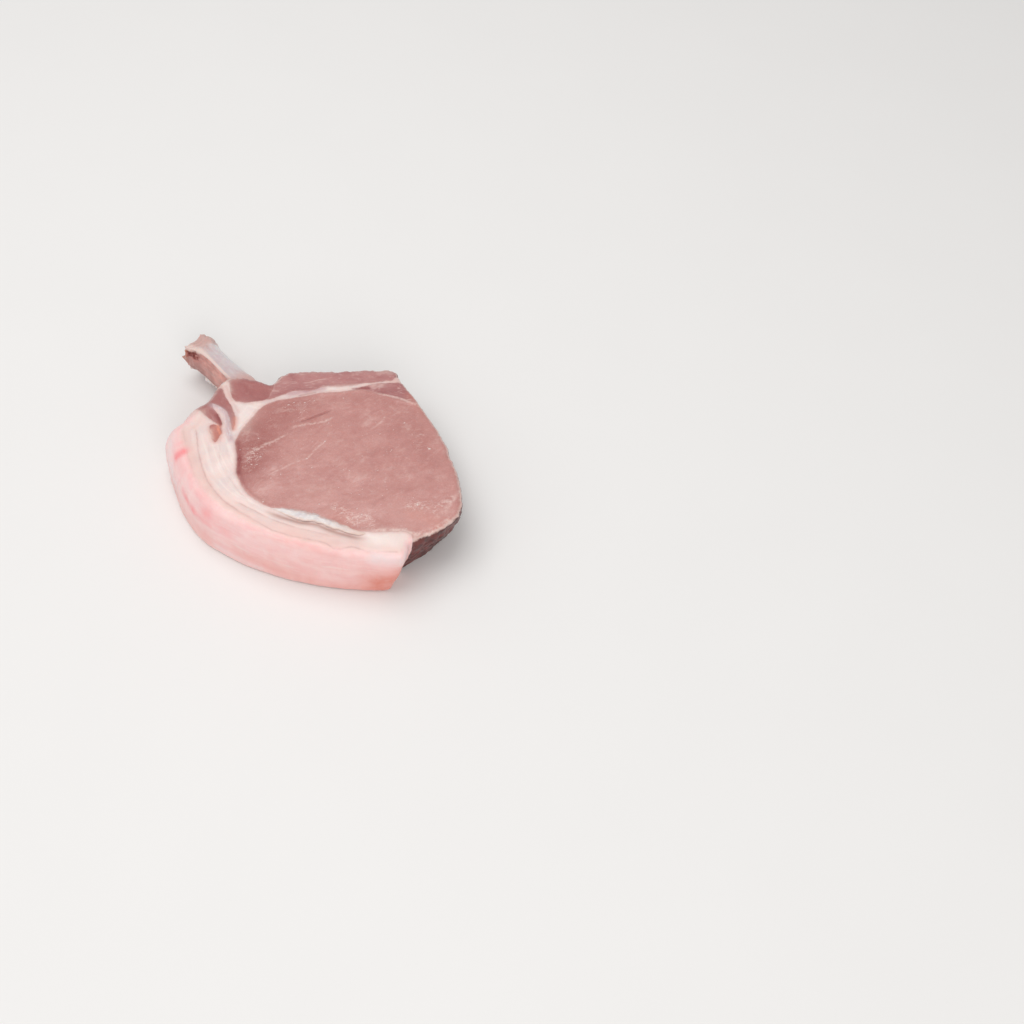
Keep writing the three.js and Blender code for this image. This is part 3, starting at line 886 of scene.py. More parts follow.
@dataclass
class Slice:
    """One region of the cut face as a closed body: two cut faces and the walls between them."""

    face: CutFace
    region: int
    upper: Array
    lower: Array
    rows: int = 30
    gap: float = 0.15
    gap_depth: float = 0.6
    swell_reach: float = 8.0
    rough: float = 0.16
    rough_lean: float = 0.34
    wrinkle_share: float = 0.4
    no_border: float = 9.0

    def build(self, name: str) -> bpy.types.Object:
        """Closes the region between its cut faces.

        A wall point on the rim stands out by the slab's bulge and relief; one between two pieces keeps half
        the gap back, so that neighbours meet only at their common border line.

        Args:
            name: Name of the piece.

        Returns:
            The object with all fields as attributes.
        """
        sheet = self.face.triangles[self.face.owner == self.region]
        used, compact = np.unique(sheet, return_inverse=True)
        sheet = compact.reshape(-1, 3)
        edges = sheet[:, [[0, 1], [1, 2], [2, 0]]].reshape(-1, 2)
        count = len(used)
        one_way = edges[:, 0] * count + edges[:, 1]
        other_way = edges[:, 1] * count + edges[:, 0]
        rim_edges = edges[~np.isin(one_way, other_way)]
        turn_points, ends = np.unique(rim_edges, return_inverse=True)
        ends = ends.reshape(-1, 2)

        plan = self.face.points[used]
        back = self.draw_back(plan, rim_edges)
        on_rim = self.face.fields["rim"][used] <= 0.0
        share = np.linspace(0.0, 1.0, self.rows + 2)[1:-1][:, None]
        corner = turn_points[None, :]
        top, foot = self.upper[used], self.lower[used]
        height = foot[corner] + (top[corner] - foot[corner]) * share
        wall_plan = np.repeat(plan[turn_points][None], self.rows, axis=0)
        depth = np.minimum(top[corner] - height, height - foot[corner])
        opened = self.gap * rise(0.5, 3.5, self.face.fields["rim"][used][turn_points])
        inner = back[turn_points][None] * (opened * rise(0.0, self.gap_depth, depth))[..., None]
        relief = self.relief(wall_plan, height, share)
        outer = self.outer_normal(used[turn_points])[None] * relief[..., None]
        wall_plan = wall_plan + np.where(on_rim[turn_points][None, :, None], outer, inner)
        whose = np.concatenate([used, used, np.tile(used[turn_points], self.rows)])
        all_plan = np.vstack([plan, plan, wall_plan.reshape(-1, 2)])
        all_heights = np.concatenate([top, foot, height.ravel()])
        points = self.face.slab.placed(self.swollen(whose, all_plan, all_heights), all_heights)
        columns = np.vstack([
            turn_points + count,
            2 * count + np.arange(self.rows * len(turn_points)).reshape(self.rows, -1),
            turn_points,
        ])
        low, high = columns[:-1], columns[1:]
        first, second = ends[:, 0], ends[:, 1]
        walls = np.stack([high[:, first], low[:, first], low[:, second], high[:, second]], axis=-1)
        faces = [sheet, sheet[:, ::-1] + count, walls.reshape(-1, 4)]
        return mesh_object(name, points, faces, self.attributes(used, turn_points, points))

    def draw_back(self, plan: Array, rim_edges: Array) -> Array:
        """Unit directions from the region's outline towards its inside."""
        run = plan[rim_edges[:, 1]] - plan[rim_edges[:, 0]]
        left = np.column_stack([-run[:, 1], run[:, 0]])
        total = np.zeros_like(plan)
        np.add.at(total, rim_edges[:, 0], left)
        np.add.at(total, rim_edges[:, 1], left)
        return total / np.maximum(1e-9, np.linalg.norm(total, axis=1))[:, None]

    def outer_normal(self, which: Array) -> Array:
        """Outward normals of the slab's rim next to the given points of the cut face."""
        rim = self.face.rim
        normal = outward(rim)
        length = np.linalg.norm(np.roll(rim, -1, axis=0) - rim, axis=1)
        reached = np.concatenate([[0.0], np.cumsum(length)])
        along = self.face.fields["rim_along"][which]
        closed = np.vstack([normal, normal[:1]])
        mixed = np.column_stack([np.interp(along, reached, closed[:, k]) for k in (0, 1)])
        return mixed / np.linalg.norm(mixed, axis=1)[:, None]

    def swollen(self, which: Array, plan: Array, height: Array) -> Array:
        """Moves points outwards by the slab's bulge, less with their distance to the rim."""
        share = 1.0 - rise(0.0, self.swell_reach, self.face.fields["rim"][which])
        return plan + self.outer_normal(which) * (self.face.slab.bulge(plan[:, 0], height) * share)[:, None]

    def relief(self, plan: Array, height: Array, share: Array) -> Array:
        """Long folds and small wrinkles of the outer wall, faded at both edges, roughest at the lean end."""
        place = np.concatenate([plan, height[..., None]], axis=-1)
        lean_end = rise(40.0, 48.0, plan[..., 0]) + rise(38.0, 42.0, plan[..., 1])
        rough = self.rough + self.rough_lean * np.clip(lean_end, 0.0, 1.0)
        folds = rough * Ripples(13, 3, 31).at(place * [1.0, 1.0, 0.8])
        wrinkles = self.wrinkle_share * rough * Ripples(3.2, 1.4, 32).at(place)
        return (folds + wrinkles - 0.1) * np.sin(math.pi * share) ** 0.5

    def attributes(self, used: Array, turn_points: Array, points: Array) -> dict[str, Array]:
        """Repeats the plan's fields on both faces and down the walls, and adds height and wall.

        Args:
            used: The region's points on the cut face.
            turn_points: Which of them lie on its outline.
            points: The final places, in metres.

        Returns:
            Every attribute by name, with plan place and height in millimetres.
        """
        fields = self.face.fields
        walls = len(turn_points) * self.rows
        values = {}
        for name in (name for name in fields if name not in ("share", "owner")):
            flat = fields[name][used]
            values[name] = np.concatenate([flat, flat, np.tile(flat[turn_points], self.rows)])
        on_wall = np.concatenate([np.zeros(2 * len(used)), np.ones(walls)])
        values["border"] = np.where(on_wall > 0, self.no_border, values["border"])
        values["height"] = points[:, 2] / MM
        values["wall"] = on_wall
        place = points / MM - np.append(PLAN_ZERO, 0.0)
        for name, marks in MARKS.items():
            values[name] = np.clip(sum(mark.at(place) for mark in marks), -1.0, 1.0)
        return values


# ---- swept and thin pieces


def in_frame(points: Array) -> Array:
    """Turns plan coordinates with a height, in millimetres, into frame coordinates in metres."""
    return (points + np.append(PLAN_ZERO, 0.0)) * MM


def grid_faces(rows: int, columns: int, closed: bool) -> Array:
    """Corner numbers of the quads on a grid of points.

    Args:
        rows: Rows of points.
        columns: Points in a row.
        closed: Whether each row joins up with its own start.

    Returns:
        One row of four corners for each quad.
    """
    number = np.arange(rows * columns).reshape(rows, columns)
    ahead = np.roll(number, -1, axis=1)
    quads = np.stack([number[:-1], ahead[:-1], ahead[1:], number[1:]], axis=-1)
    return (quads if closed else quads[:, :-1]).reshape(-1, 4)


def closed_tube(rings: Array) -> tuple[Array, list[Array]]:
    """Closes a stack of rings with a point at each end.

    Args:
        rings: Points as rows x columns x 3, each row a ring that runs counterclockwise round the way ahead.

    Returns:
        All points and the face blocks.
    """
    rows, columns = rings.shape[:2]
    ends = np.stack([rings[0].mean(0), rings[-1].mean(0)])
    points = np.vstack([rings.reshape(-1, 3), ends])
    start, finish = rows * columns, rows * columns + 1
    first = np.arange(columns)
    following = np.roll(first, -1)
    last = first + (rows - 1) * columns
    fan = np.column_stack([np.full(columns, start), following, first])
    fan_end = np.column_stack([np.full(columns, finish), last, np.roll(last, -1)])
    return points, [grid_faces(rows, columns, True), np.vstack([fan, fan_end])]


def shell(sheet: Array, thickness: Array, inward: Point3 = (0.0, 0.0, -1.0)) -> tuple[Array, list[Array]]:
    """Gives a sheet a thickness that closes along its edge.

    Args:
        sheet: Outer surface as rows x columns x 3.
        thickness: Thickness at each point; 0 along the edge.
        inward: Direction from the outer to the inner surface.

    Returns:
        All points and the face blocks; both surfaces share the edge points.
    """
    rows, columns = sheet.shape[:2]
    number = np.arange(rows * columns).reshape(rows, columns)
    below = number + rows * columns
    edge = np.ones((rows, columns), bool)
    edge[1:-1, 1:-1] = False
    below[edge] = number[edge]
    under = sheet + thickness[..., None] * np.array(inward)
    upper_quads = grid_faces(rows, columns, False)
    lower_quads = below.ravel()[upper_quads][:, ::-1]
    points = np.vstack([sheet.reshape(-1, 3), under.reshape(-1, 3)])
    used, compact = np.unique(np.vstack([upper_quads, lower_quads]), return_inverse=True)
    return points[used], [compact.reshape(-1, 4)]


@dataclass(frozen=True)
class Ridge:
    """A long ridge on the bone, or a hollow if its height is negative.

    Its angle and spread are in degrees round the bone; it rises and ends between two places along it.
    """

    height: float
    angle: float
    spread: float
    rises: Point
    ends: Point

    def at(self, way: Array, turned: Array) -> Array:
        """Height times a bell round the angle, faded in and out along the bone."""
        return self.height * hill(turned, self.spread) * rise(*self.rises, way) * (1 - rise(*self.ends, way))


@dataclass
class RibBone:
    """The scraped rib bone: a squarish shaft with a crest along its near edge and a torn, flared end.

    Each section is its place along the bone, its shift sideways, its width and its height. Angles round the
    bone are 0 on its far side and 90 on top.
    """

    heading: float = math.radians(137.0)
    offset: float = 5.0
    centre: float = 14.5
    square: float = 3.0
    sections: tuple[tuple[float, float, float, float], ...] = (
        (46, -3.2, 5, 8), (50, -1.8, 8.4, 12), (56, -0.1, 11, 13.8), (64, 0.1, 11.2, 14),
        (74, 0.1, 11.2, 13.8), (82, 0.3, 11.8, 13.6), (87, 0.2, 13.4, 13.6), (91, 0, 15.2, 13.6),
        (94.2, -0.2, 14.6, 12.2),
    )
    rows: int = 220
    columns: int = 176
    ridges: tuple[Ridge, ...] = (
        Ridge(-0.7, 74.0, 24.0, (58, 68), (82, 91)),
        Ridge(-0.9, 143.0, 17.0, (56, 64), (84, 91)),
        Ridge(-0.6, 178.0, 22.0, (56, 64), (80, 90)),
        Ridge(1.0, 222.0, 20.0, (54, 62), (82, 91)),
    )
    keel_at: float = 222.0
    keel_spread: float = 20.0
    crest_near_root: float = 115.0
    crest_shift: float = 9.0
    crest_return: float = 14.0
    crest_height: float = 0.6
    crest_spread: float = 12.0
    recess_at: float = 150.0
    recess_spread: float = 15.0
    recess_way: float = 89.4
    recess_length: float = 3.0
    recess_depth: float = 1.5
    flare_from: float = 86.0
    wrist: float = 57.5
    wrist_length: float = 5.0
    girth: float = 5.5
    hollow_rings: int = 26
    hollow_backs: tuple[float, ...] = (0.15, 0.5, 1.2, 2.0, 2.6, 2.9, 3.1, 3.2)
    hollow_scales: tuple[float, ...] = (0.95, 0.88, 0.82, 0.74, 0.6, 0.42, 0.24, 0.1)

    def build(self) -> bpy.types.Object:
        """Lofts the skin from the root to the torn lip and on into the shallow marrow hollow."""
        table = through(np.array(self.sections, float), False)
        along = np.linspace(table[0, 0], table[-1, 0], self.rows)
        shift, width, height = (np.interp(along, table[:, 0], table[:, k]) for k in (1, 2, 3))
        turn = -np.linspace(0, 2 * math.pi, self.columns, endpoint=False)
        side = self.superellipse(np.cos(turn)) * width[:, None] / 2
        lift = self.superellipse(np.sin(turn)) * height[:, None] / 2
        grown, recess = self.relief(along, turn)
        reach = np.hypot(side, lift)
        side, lift = (part * (1 + grown / np.maximum(1.0, reach)) for part in (side, lift))
        near_end = np.clip((along - self.flare_from) / (along[-1] - self.flare_from), 0, 1)[:, None] ** 2
        ahead = along[:, None] + near_end * self.torn(turn)
        side = side + shift[:, None]
        ahead, side, lift = self.marrow_hollow(ahead, side, lift, turn)
        rings = self.in_plan(ahead, side, lift)
        points, faces = closed_tube(rings)
        return mesh_object("rib_bone_scraped", in_frame(points), faces, self.fields(turn, along, recess))

    def superellipse(self, value: Array) -> Array:
        """Sign of the value times its size to the power 2 / square."""
        return np.sign(value) * np.abs(value) ** (2 / self.square)

    def in_plan(self, ahead: Array, side: Array, lift: Array) -> Array:
        """Places points by their way along the bone, beside its line and above its centre."""
        cos, sin = math.cos(self.heading), math.sin(self.heading)
        across = self.offset + side
        x, y = cos * ahead + sin * across, sin * ahead - cos * across
        return np.stack([x, y, self.centre + lift], axis=-1)

    def turned(self, turn: Array, centre: Array | float) -> Array:
        """Angle from a centre in degrees, wrapped to -180..180."""
        return (np.degrees(turn) - centre + 180.0) % 360.0 - 180.0

    def bell(self, turn: Array, centre: Array | float, spread: Array | float) -> Array:
        """A bell round the bone: 1 at the centre angle, with its spread in degrees."""
        return hill(self.turned(turn, centre), spread)

    def skin_place(self, way: Array, turn: Array, radius: Array | float) -> Array:
        """Places on a round rod, on which the relief's ripples are read."""
        parts = np.broadcast_arrays(way, radius * np.cos(turn), radius * np.sin(turn))
        return np.stack(parts, axis=-1)

    def relief(self, along: Array, turn: Array) -> tuple[Array, Array]:
        """Growth of the skin over the plain section, in millimetres.

        A crest runs along the near upper edge, the top and the near side are hollow, the root widens into
        the meat, a recess lies below the crest behind the lip, and fine wrinkles run lengthwise.

        Args:
            along: Place of each row along the bone.
            turn: Angle of each column.

        Returns:
            The growth, and the recess alone as a share.
        """
        way = along[:, None]
        crest = self.crest_height * self.bell(turn, self.crest_at(way), self.crest_spread) * rise(56, 66, way)
        long_forms = sum(ridge.at(way, self.turned(turn, ridge.angle)) for ridge in self.ridges)
        beyond_wrist = np.maximum(0.0, way - self.wrist)
        root = (0.1 + 0.35 * self.bell(turn, 45.0, 50.0)) * hill(beyond_wrist, self.wrist_length)
        place = self.skin_place(way * 0.28, turn, self.girth)
        even = place * [3.0, 1.0, 1.0]
        ragged = 1 + 0.5 * Ripples(5, 1.2, 45).at(even)
        recess = self.bell(turn, self.recess_at, self.recess_spread * ragged)
        recess = recess * hill(way - self.recess_way, self.recess_length * ragged)
        wrinkles = 0.16 * Ripples(7, 1.6, 41).at(place)
        crumbly = 0.4 * rise(82, 91, way) * Ripples(5, 1.4, 42).at(even)
        return crest + long_forms - self.recess_depth * recess + root + wrinkles + crumbly, recess

    def crest_at(self, way: Array) -> Array:
        """Angle of the crest in degrees: it swings towards the top, and back at the torn end."""
        swing = self.crest_return * rise(84.0, 92.0, way) - self.crest_shift * rise(64.0, 80.0, way)
        return self.crest_near_root + swing

    def torn(self, turn: Array) -> Array:
        """How far the lip runs past or short of its mean line: a torn spike low on the near side."""
        rim = self.skin_place(0.0, turn, 6.0)[:, 1:]
        spikes = 2.9 * self.bell(turn, 206.0, 22.0) + 1.3 * self.bell(turn, 62.0, 14.0)
        dents = 1.3 * self.bell(turn, 164.0, 15.0) + 0.8 * self.bell(turn, 98.0, 22.0)
        return spikes - dents + 0.5 * Ripples(6, 1.3, 43).at(rim) - 0.2

    def marrow_hollow(self, ahead: Array, side: Array, lift: Array, turn: Array) -> list[Array]:
        """Adds rings that fold over the lip and run back into the spongy hollow.

        Each is a smaller copy of the lip that soon levels out, roughened by ripples.

        Args:
            ahead: Place of every point along the bone.
            side: Its place sideways.
            lift: Its height above the bone's centre.
            turn: Angle of each column.

        Returns:
            The three with the new rings as further rows.
        """
        number = np.linspace(0.0, len(self.hollow_backs) - 1.0, self.hollow_rings)
        tables = (self.hollow_backs, self.hollow_scales)
        back, scale = (np.interp(number, range(len(table)), table)[:, None] for table in tables)
        rough = 0.45 * Ripples(3.5, 1.0, 44).at(self.skin_place(back * 2, turn, 6 * scale))
        middle = ahead[-1].mean()
        level = middle + (ahead[-1] - middle) * scale**4 - back + rough
        shrunk = (part[-1].mean() + (part[-1] - part[-1].mean()) * scale for part in (side, lift))
        return [np.vstack(pair) for pair in zip((ahead, side, lift), (level, *shrunk))]

    def fields(self, turn: Array, along: Array, recess: Array) -> dict[str, Array]:
        """Works out what the finish reads.

        Args:
            turn: Angle of each column.
            along: Place of each row of the outer skin.
            recess: The recess on those rows.

        Returns:
            Place along, near side, crest, far-edge highlight, keel, top highlight, recess and marrow, one
            value a point.
        """
        rings = self.hollow_rings
        way = np.concatenate([along, np.full(rings, along[-1])])[:, None]
        degrees = np.degrees(turn) % 360.0
        crest_at = self.crest_at(way)
        values = {
            "way": way,
            "near_side": rise(4.0, 14.0, degrees - crest_at) * (1 - rise(262.0, 290.0, degrees)),
            "crest": self.bell(turn, crest_at + 1.0, 9.0 + 12.0 * rise(78, 90, way)),
            # Where painted light goes: highlights along the far edge and on the top towards it, shade along
            # the lower near edge.
            "far_edge": self.bell(turn, 40.0, 16.0),
            "keel": self.bell(turn, self.keel_at, self.keel_spread),
            "glow": self.bell(turn, 58.0, 20.0) * hill(way - 76.0, 12.0),
            "recess": np.vstack([recess, np.zeros((rings, len(turn)))]),
            "marrow": np.concatenate([np.zeros(self.rows), np.linspace(0.3, 1.0, rings)])[:, None],
        }
        shape = (self.rows + rings, self.columns)
        flat = {name: np.broadcast_to(value, shape).ravel() for name, value in values.items()}
        return {name: np.append(value, value[[0, -1]]) for name, value in flat.items()}


def spheres(centres: Array, radii: Array, angles: Array) -> tuple[Array, list[Array]]:
    """Makes many small rounded bodies from one ball of a few rings.

    A ball point (x, y, z) goes to centre + turn about Z by the angle of (x rx, y ry, z rz).

    Args:
        centres: Middle of each body.
        radii: Three radii for each.
        angles: Turn of each about Z.

    Returns:
        All points and the face blocks.
    """
    rows, around = 7, 12
    polar = np.linspace(0, math.pi, rows + 2)[1:-1][:, None]
    turn = np.linspace(0, 2 * math.pi, around, endpoint=False)
    parts = (np.sin(polar) * np.cos(turn), np.sin(polar) * np.sin(turn), -np.cos(polar))
    points, faces = closed_tube(np.stack(np.broadcast_arrays(*parts), axis=-1))
    points[-2:] = [[0, 0, -1], [0, 0, 1]]
    x, y, z = np.moveaxis(points[None] * radii[:, None], -1, 0)
    cos, sin = np.cos(angles)[:, None], np.sin(angles)[:, None]
    turned = np.stack([cos * x - sin * y, sin * x + cos * y, z], -1)
    shift = (np.arange(len(centres)) * len(points))[:, None, None]
    blocks = [(block[None] + shift).reshape(-1, block.shape[1]) for block in faces]
    return (centres[:, None] + turned).reshape(-1, 3), blocks


@dataclass
class Silverskin:
    """The torn silverskin below the eye: a thin white skin that hangs over the groove in the fat."""

    face: CutFace
    heights: Array
    columns: int = 170
    rows: int = 26
    thickness: float = 0.3
    below: float = 0.1
    drop: float = 0.35
    swell: float = 0.3
    ripple: float = 0.05
    smooth: int = 15
    seed: int = 51

    def build(self) -> bpy.types.Object:
        """Stretches a sheet between the eye's border and the torn edge.

        Across it a point goes straight from one edge to the other; its height starts just below the eye and
        falls by drop times the share squared, with a low swell and ripples on top.
        """
        run = np.linspace(0, 1, self.columns)
        opened = rise(-0.05, 0.3, run) * rise(-0.02, 0.14, 1 - run)
        ends = np.sin(math.pi * run)
        inner, outer = self.edges(opened, ends)
        across = np.linspace(0, 1, self.rows)[:, None]
        plan = inner * (1 - across[..., None]) + outer * across[..., None]
        level = self.face.height_near(inner, self.heights)
        window = np.full(2 * self.smooth + 1, 1 / (2 * self.smooth + 1))
        level = np.convolve(np.pad(level, self.smooth, mode="edge"), window, mode="valid")
        swell = self.swell * np.sin(math.pi * across**0.8) * ends
        height = level - self.below + 0.06 * opened - self.drop * across**2 * opened + swell
        height += self.ripple * Ripples(9, 2.5, self.seed + 2).at(plan) * rise(0.0, 0.3, across)
        thick = self.thickness * (0.35 + 0.65 * np.sin(math.pi * across) ** 0.5) * np.ones_like(height)
        sheet = np.concatenate([plan, height[..., None]], axis=-1)[:, ::-1]
        points, faces = shell(in_frame(sheet), thick * MM)
        middle = (rise(0, 0.2, run) * rise(0, 0.5, 1 - run))[::-1]
        fields = {"across": self.on_shell(across), "middle": self.on_shell(middle)}
        return mesh_object("silverskin_flap", points, faces, fields)

    def edges(self, opened: Array, ends: Array) -> tuple[Array, Array]:
        """Finds the edge under the eye and the torn one.

        Both follow their courses; the flap closes towards its ends and its edges waver with ripples.

        Args:
            opened: How far the flap is open at each column.
            ends: A half sine over the columns.

        Returns:
            The inner and the outer edge in plan.
        """
        inner, outer = self.resampled(FLAP_UPPER), self.resampled(FLAP_LOWER)
        across_way = (outer - inner) / np.linalg.norm(outer - inner, axis=1)[:, None]
        outer = inner + (outer - inner) * (0.12 + 0.88 * opened)[:, None]
        tucked = (0.45 + 0.3 * Ripples(9, 1.2, self.seed).at(inner)) * opened
        inner = inner - across_way * tucked[:, None]
        torn = 0.22 * Ripples(8, 1.6, self.seed + 1).at(outer) * ends
        return inner, outer + across_way * torn[:, None]

    def on_shell(self, values: Array) -> Array:
        """Values of a grid for the upper and then, without the edge, the lower surface."""
        grid = np.broadcast_to(values, (self.rows, self.columns))
        return np.concatenate([grid.ravel(), grid[1:-1, 1:-1].ravel()])

    def resampled(self, course: tuple[Point, ...]) -> Array:
        """Points at equal shares along one edge."""
        fine = course_path(course, 0.25)
        share = np.linspace(0, len(fine) - 1, self.columns)
        return np.column_stack([np.interp(share, np.arange(len(fine)), fine[:, k]) for k in (0, 1)])


@dataclass
class TornMembrane:
    """The ragged membrane that the knife left hanging along the bone's lower near edge.

    Each fold is its place along the bone, its reach and its depth.
    """

    bone: RibBone
    start: float = 58.5
    end: float = 95.0
    columns: int = 190
    rows: int = 16
    thickness: float = 0.45
    folds: tuple[Point3, ...] = (
        (79.5, 2.2, 2.0), (75.5, 1.3, 1.3), (70.0, 2.2, 0.7), (64.0, 2.4, 0.8), (90.5, 1.0, 0.9),
        (93.2, 0.7, 0.8),
    )
    side: float = -4.9
    flare: float = 0.9
    level: float = -4.5
    white_at: float = 79.5
    white_reach: float = 3.2
    seed: int = 52

    def build(self) -> bpy.types.Object:
        """Hangs a sheet from the bone's edge.

        Its drop at each place along the bone is a thin seeded fringe plus a bell for every fold; a point
        goes down and outwards with its share of the drop and curls with a wave along the edge.
        """
        way = np.linspace(self.start, self.end, self.columns)
        drop = np.maximum(0.08, 0.5 + 0.45 * Ripples(7, 1.1, self.seed).at(way[:, None]))
        drop = drop + sum(depth * hill(way - place, reach) for place, reach, depth in self.folds)
        drop *= rise(self.start, self.start + 2, way) * (1 - rise(self.end - 1.5, self.end, way)) + 0.02
        share = np.linspace(0, 1, self.rows)[:, None]
        curl = 0.5 * Ripples(5, 1.4, self.seed + 1).at(way[:, None]) * share**1.5
        side = self.side - self.flare * rise(84, 92, way) - share * (0.55 + 0.2 * drop) - curl * 0.6
        lift = self.level - share * drop * 0.9
        ahead = way + curl * 0.7
        sheet = self.bone.in_plan(*np.broadcast_arrays(ahead, side, lift))
        thick = self.thickness * np.sin(math.pi * share) ** 0.5 * np.ones_like(way)
        thick[:, [0, -1]] = 0.0
        away = self.bone.in_plan(0.0, 1.0, 0.0) - self.bone.in_plan(0.0, 0.0, 0.0)
        points, faces = shell(in_frame(sheet), thick * MM, tuple(away))
        white = np.tile(hill(way - self.white_at, self.white_reach), 2 * self.rows)
        return mesh_object("bone_membrane", points, faces, {"white": np.resize(white, len(points))})


@dataclass(frozen=True)
class Cluster:
    """A patch of fat flecks in the lean: centre, spread and number."""

    centre: Point
    spread: float
    count: int


@dataclass
class Flecks:
    """Flecks of fat sunk in the lean: single dots (place and radius) where they stand out, and clusters."""

    face: CutFace
    heights: Array
    seed: int = 61
    from_border: float = 0.8
    from_rim: float = 3.5
    raggedness: float = 0.22
    dots: tuple[Point3, ...] = (
        (47.5, 6.1, 0.62), (-8.6, 27.9, 0.34), (7.8, 31.4, 0.28), (26.8, 22, 0.3), (2.9, 6.4, 0.38),
        (-3.5, -3.4, 0.34), (-0.9, -7.9, 0.28), (35.6, 19.8, 0.32), (-26.3, -7.6, 0.32), (-17.1, -14.3, 0.26),
        (-13.3, -12.2, 0.26), (-18.6, -26.4, 0.44), (4.6, -26.5, 0.3), (11.5, -27.8, 0.3), (26.9, -7.4, 0.26),
        (-15.6, 26.1, 0.36), (-13.4, 27.5, 0.3), (-25.6, 6.6, 0.28), (20.4, -27.7, 0.3), (14.3, -30.1, 0.34),
        (45, -23.6, 0.36), (42.5, -24.7, 0.3), (46.9, -24.8, 0.3), (22.6, -30.3, 0.32), (24.6, -31, 0.3),
    )
    clusters: tuple[Cluster, ...] = (
        Cluster((-12.1, 26.4), 4.6, 22), Cluster((-26.6, -3.6), 3.4, 20), Cluster((23.6, -31.4), 2.6, 12),
        Cluster((45.2, -23.8), 2.4, 12), Cluster((18.2, -33), 2.4, 8), Cluster((-24, -3.4), 3.6, 8),
        Cluster((6, -2), 18, 16), Cluster((-10, 12), 12, 12), Cluster((30, -18), 14, 18),
        Cluster((40, 10), 8, 8),
    )

    def build(self) -> bpy.types.Object:
        """Sinks each fleck into the cut face; size, turn and ragged form are drawn from the seed."""
        draw = np.random.default_rng(self.seed)
        single = np.array(self.dots)
        clouds = [draw.normal(0, c.spread, (c.count, 2)) * [1.0, 0.8] + c.centre for c in self.clusters]
        places = np.vstack([single[:, :2], *clouds])
        size = np.concatenate([single[:, 2], draw.gamma(4.0, 0.024, len(places) - len(single)) + 0.07])
        kept = from_loop(places, MUSCLES[0].outline.loop(1.0)).side > self.from_border
        kept &= inside(places, self.face.rim)
        kept &= from_loop(places, self.face.rim).distance > self.from_rim
        places, size = places[kept], size[kept]
        level = self.face.height_near(places, self.heights)
        radii = np.column_stack([size * draw.uniform(0.8, 1.9, len(size)), size * 0.7, 0.05 + 0.1 * size])
        angles = draw.normal(math.radians(40.0), 0.7, len(size))
        points, faces = spheres(np.column_stack([places, level]), radii, angles)
        ragged = self.raggedness * Ripples(1.4, 0.4, self.seed).at(points)
        middle = np.repeat(np.column_stack([places, level]), len(points) // len(places), axis=0)
        points[:, :2] += (points - middle)[:, :2] * ragged[:, None]
        return mesh_object("fat_flecks", in_frame(points), faces, {})


# ---- node trees


def linear(colour: Colour) -> tuple[float, float, float, float]:
    """Turns a display colour of 0 to 255 into the linear values that shaders take."""
    return tuple(((c / 255 + 0.055) / 1.055) ** 2.4 if c > 10 else c / 255 / 12.92 for c in colour) + (1.0,)


class Wire:
    """One output of a node tree; arithmetic on it adds Math nodes and gives their output."""

    def __init__(self, paint: "Paint", socket: bpy.types.NodeSocket) -> None:
        """Keeps the tree and the socket."""
        self.paint = paint
        self.socket = socket

    def math_node(self, operation: str, *values: "Wire | float") -> "Wire":
        """Adds one Math node with the values in order."""
        return self.paint.add("ShaderNodeMath", {"operation": operation}, dict(enumerate(values)))

    def __add__(self, other: "Wire | float") -> "Wire":
        """Sum."""
        return self.math_node("ADD", self, other)

    def __sub__(self, other: "Wire | float") -> "Wire":
        """Difference."""
        return self.math_node("SUBTRACT", self, other)

    def __rsub__(self, other: float) -> "Wire":
        """Difference from a number."""
        return self.math_node("SUBTRACT", other, self)

    def __mul__(self, other: "Wire | float") -> "Wire":
        """Product."""
        return self.math_node("MULTIPLY", self, other)

    def __abs__(self) -> "Wire":
        """Size without sign."""
        return self.math_node("ABSOLUTE", self)

    def most(self, other: "Wire | float") -> "Wire":
        """The larger of two."""
        return self.math_node("MAXIMUM", self, other)

    __radd__ = __add__
    __rmul__ = __mul__


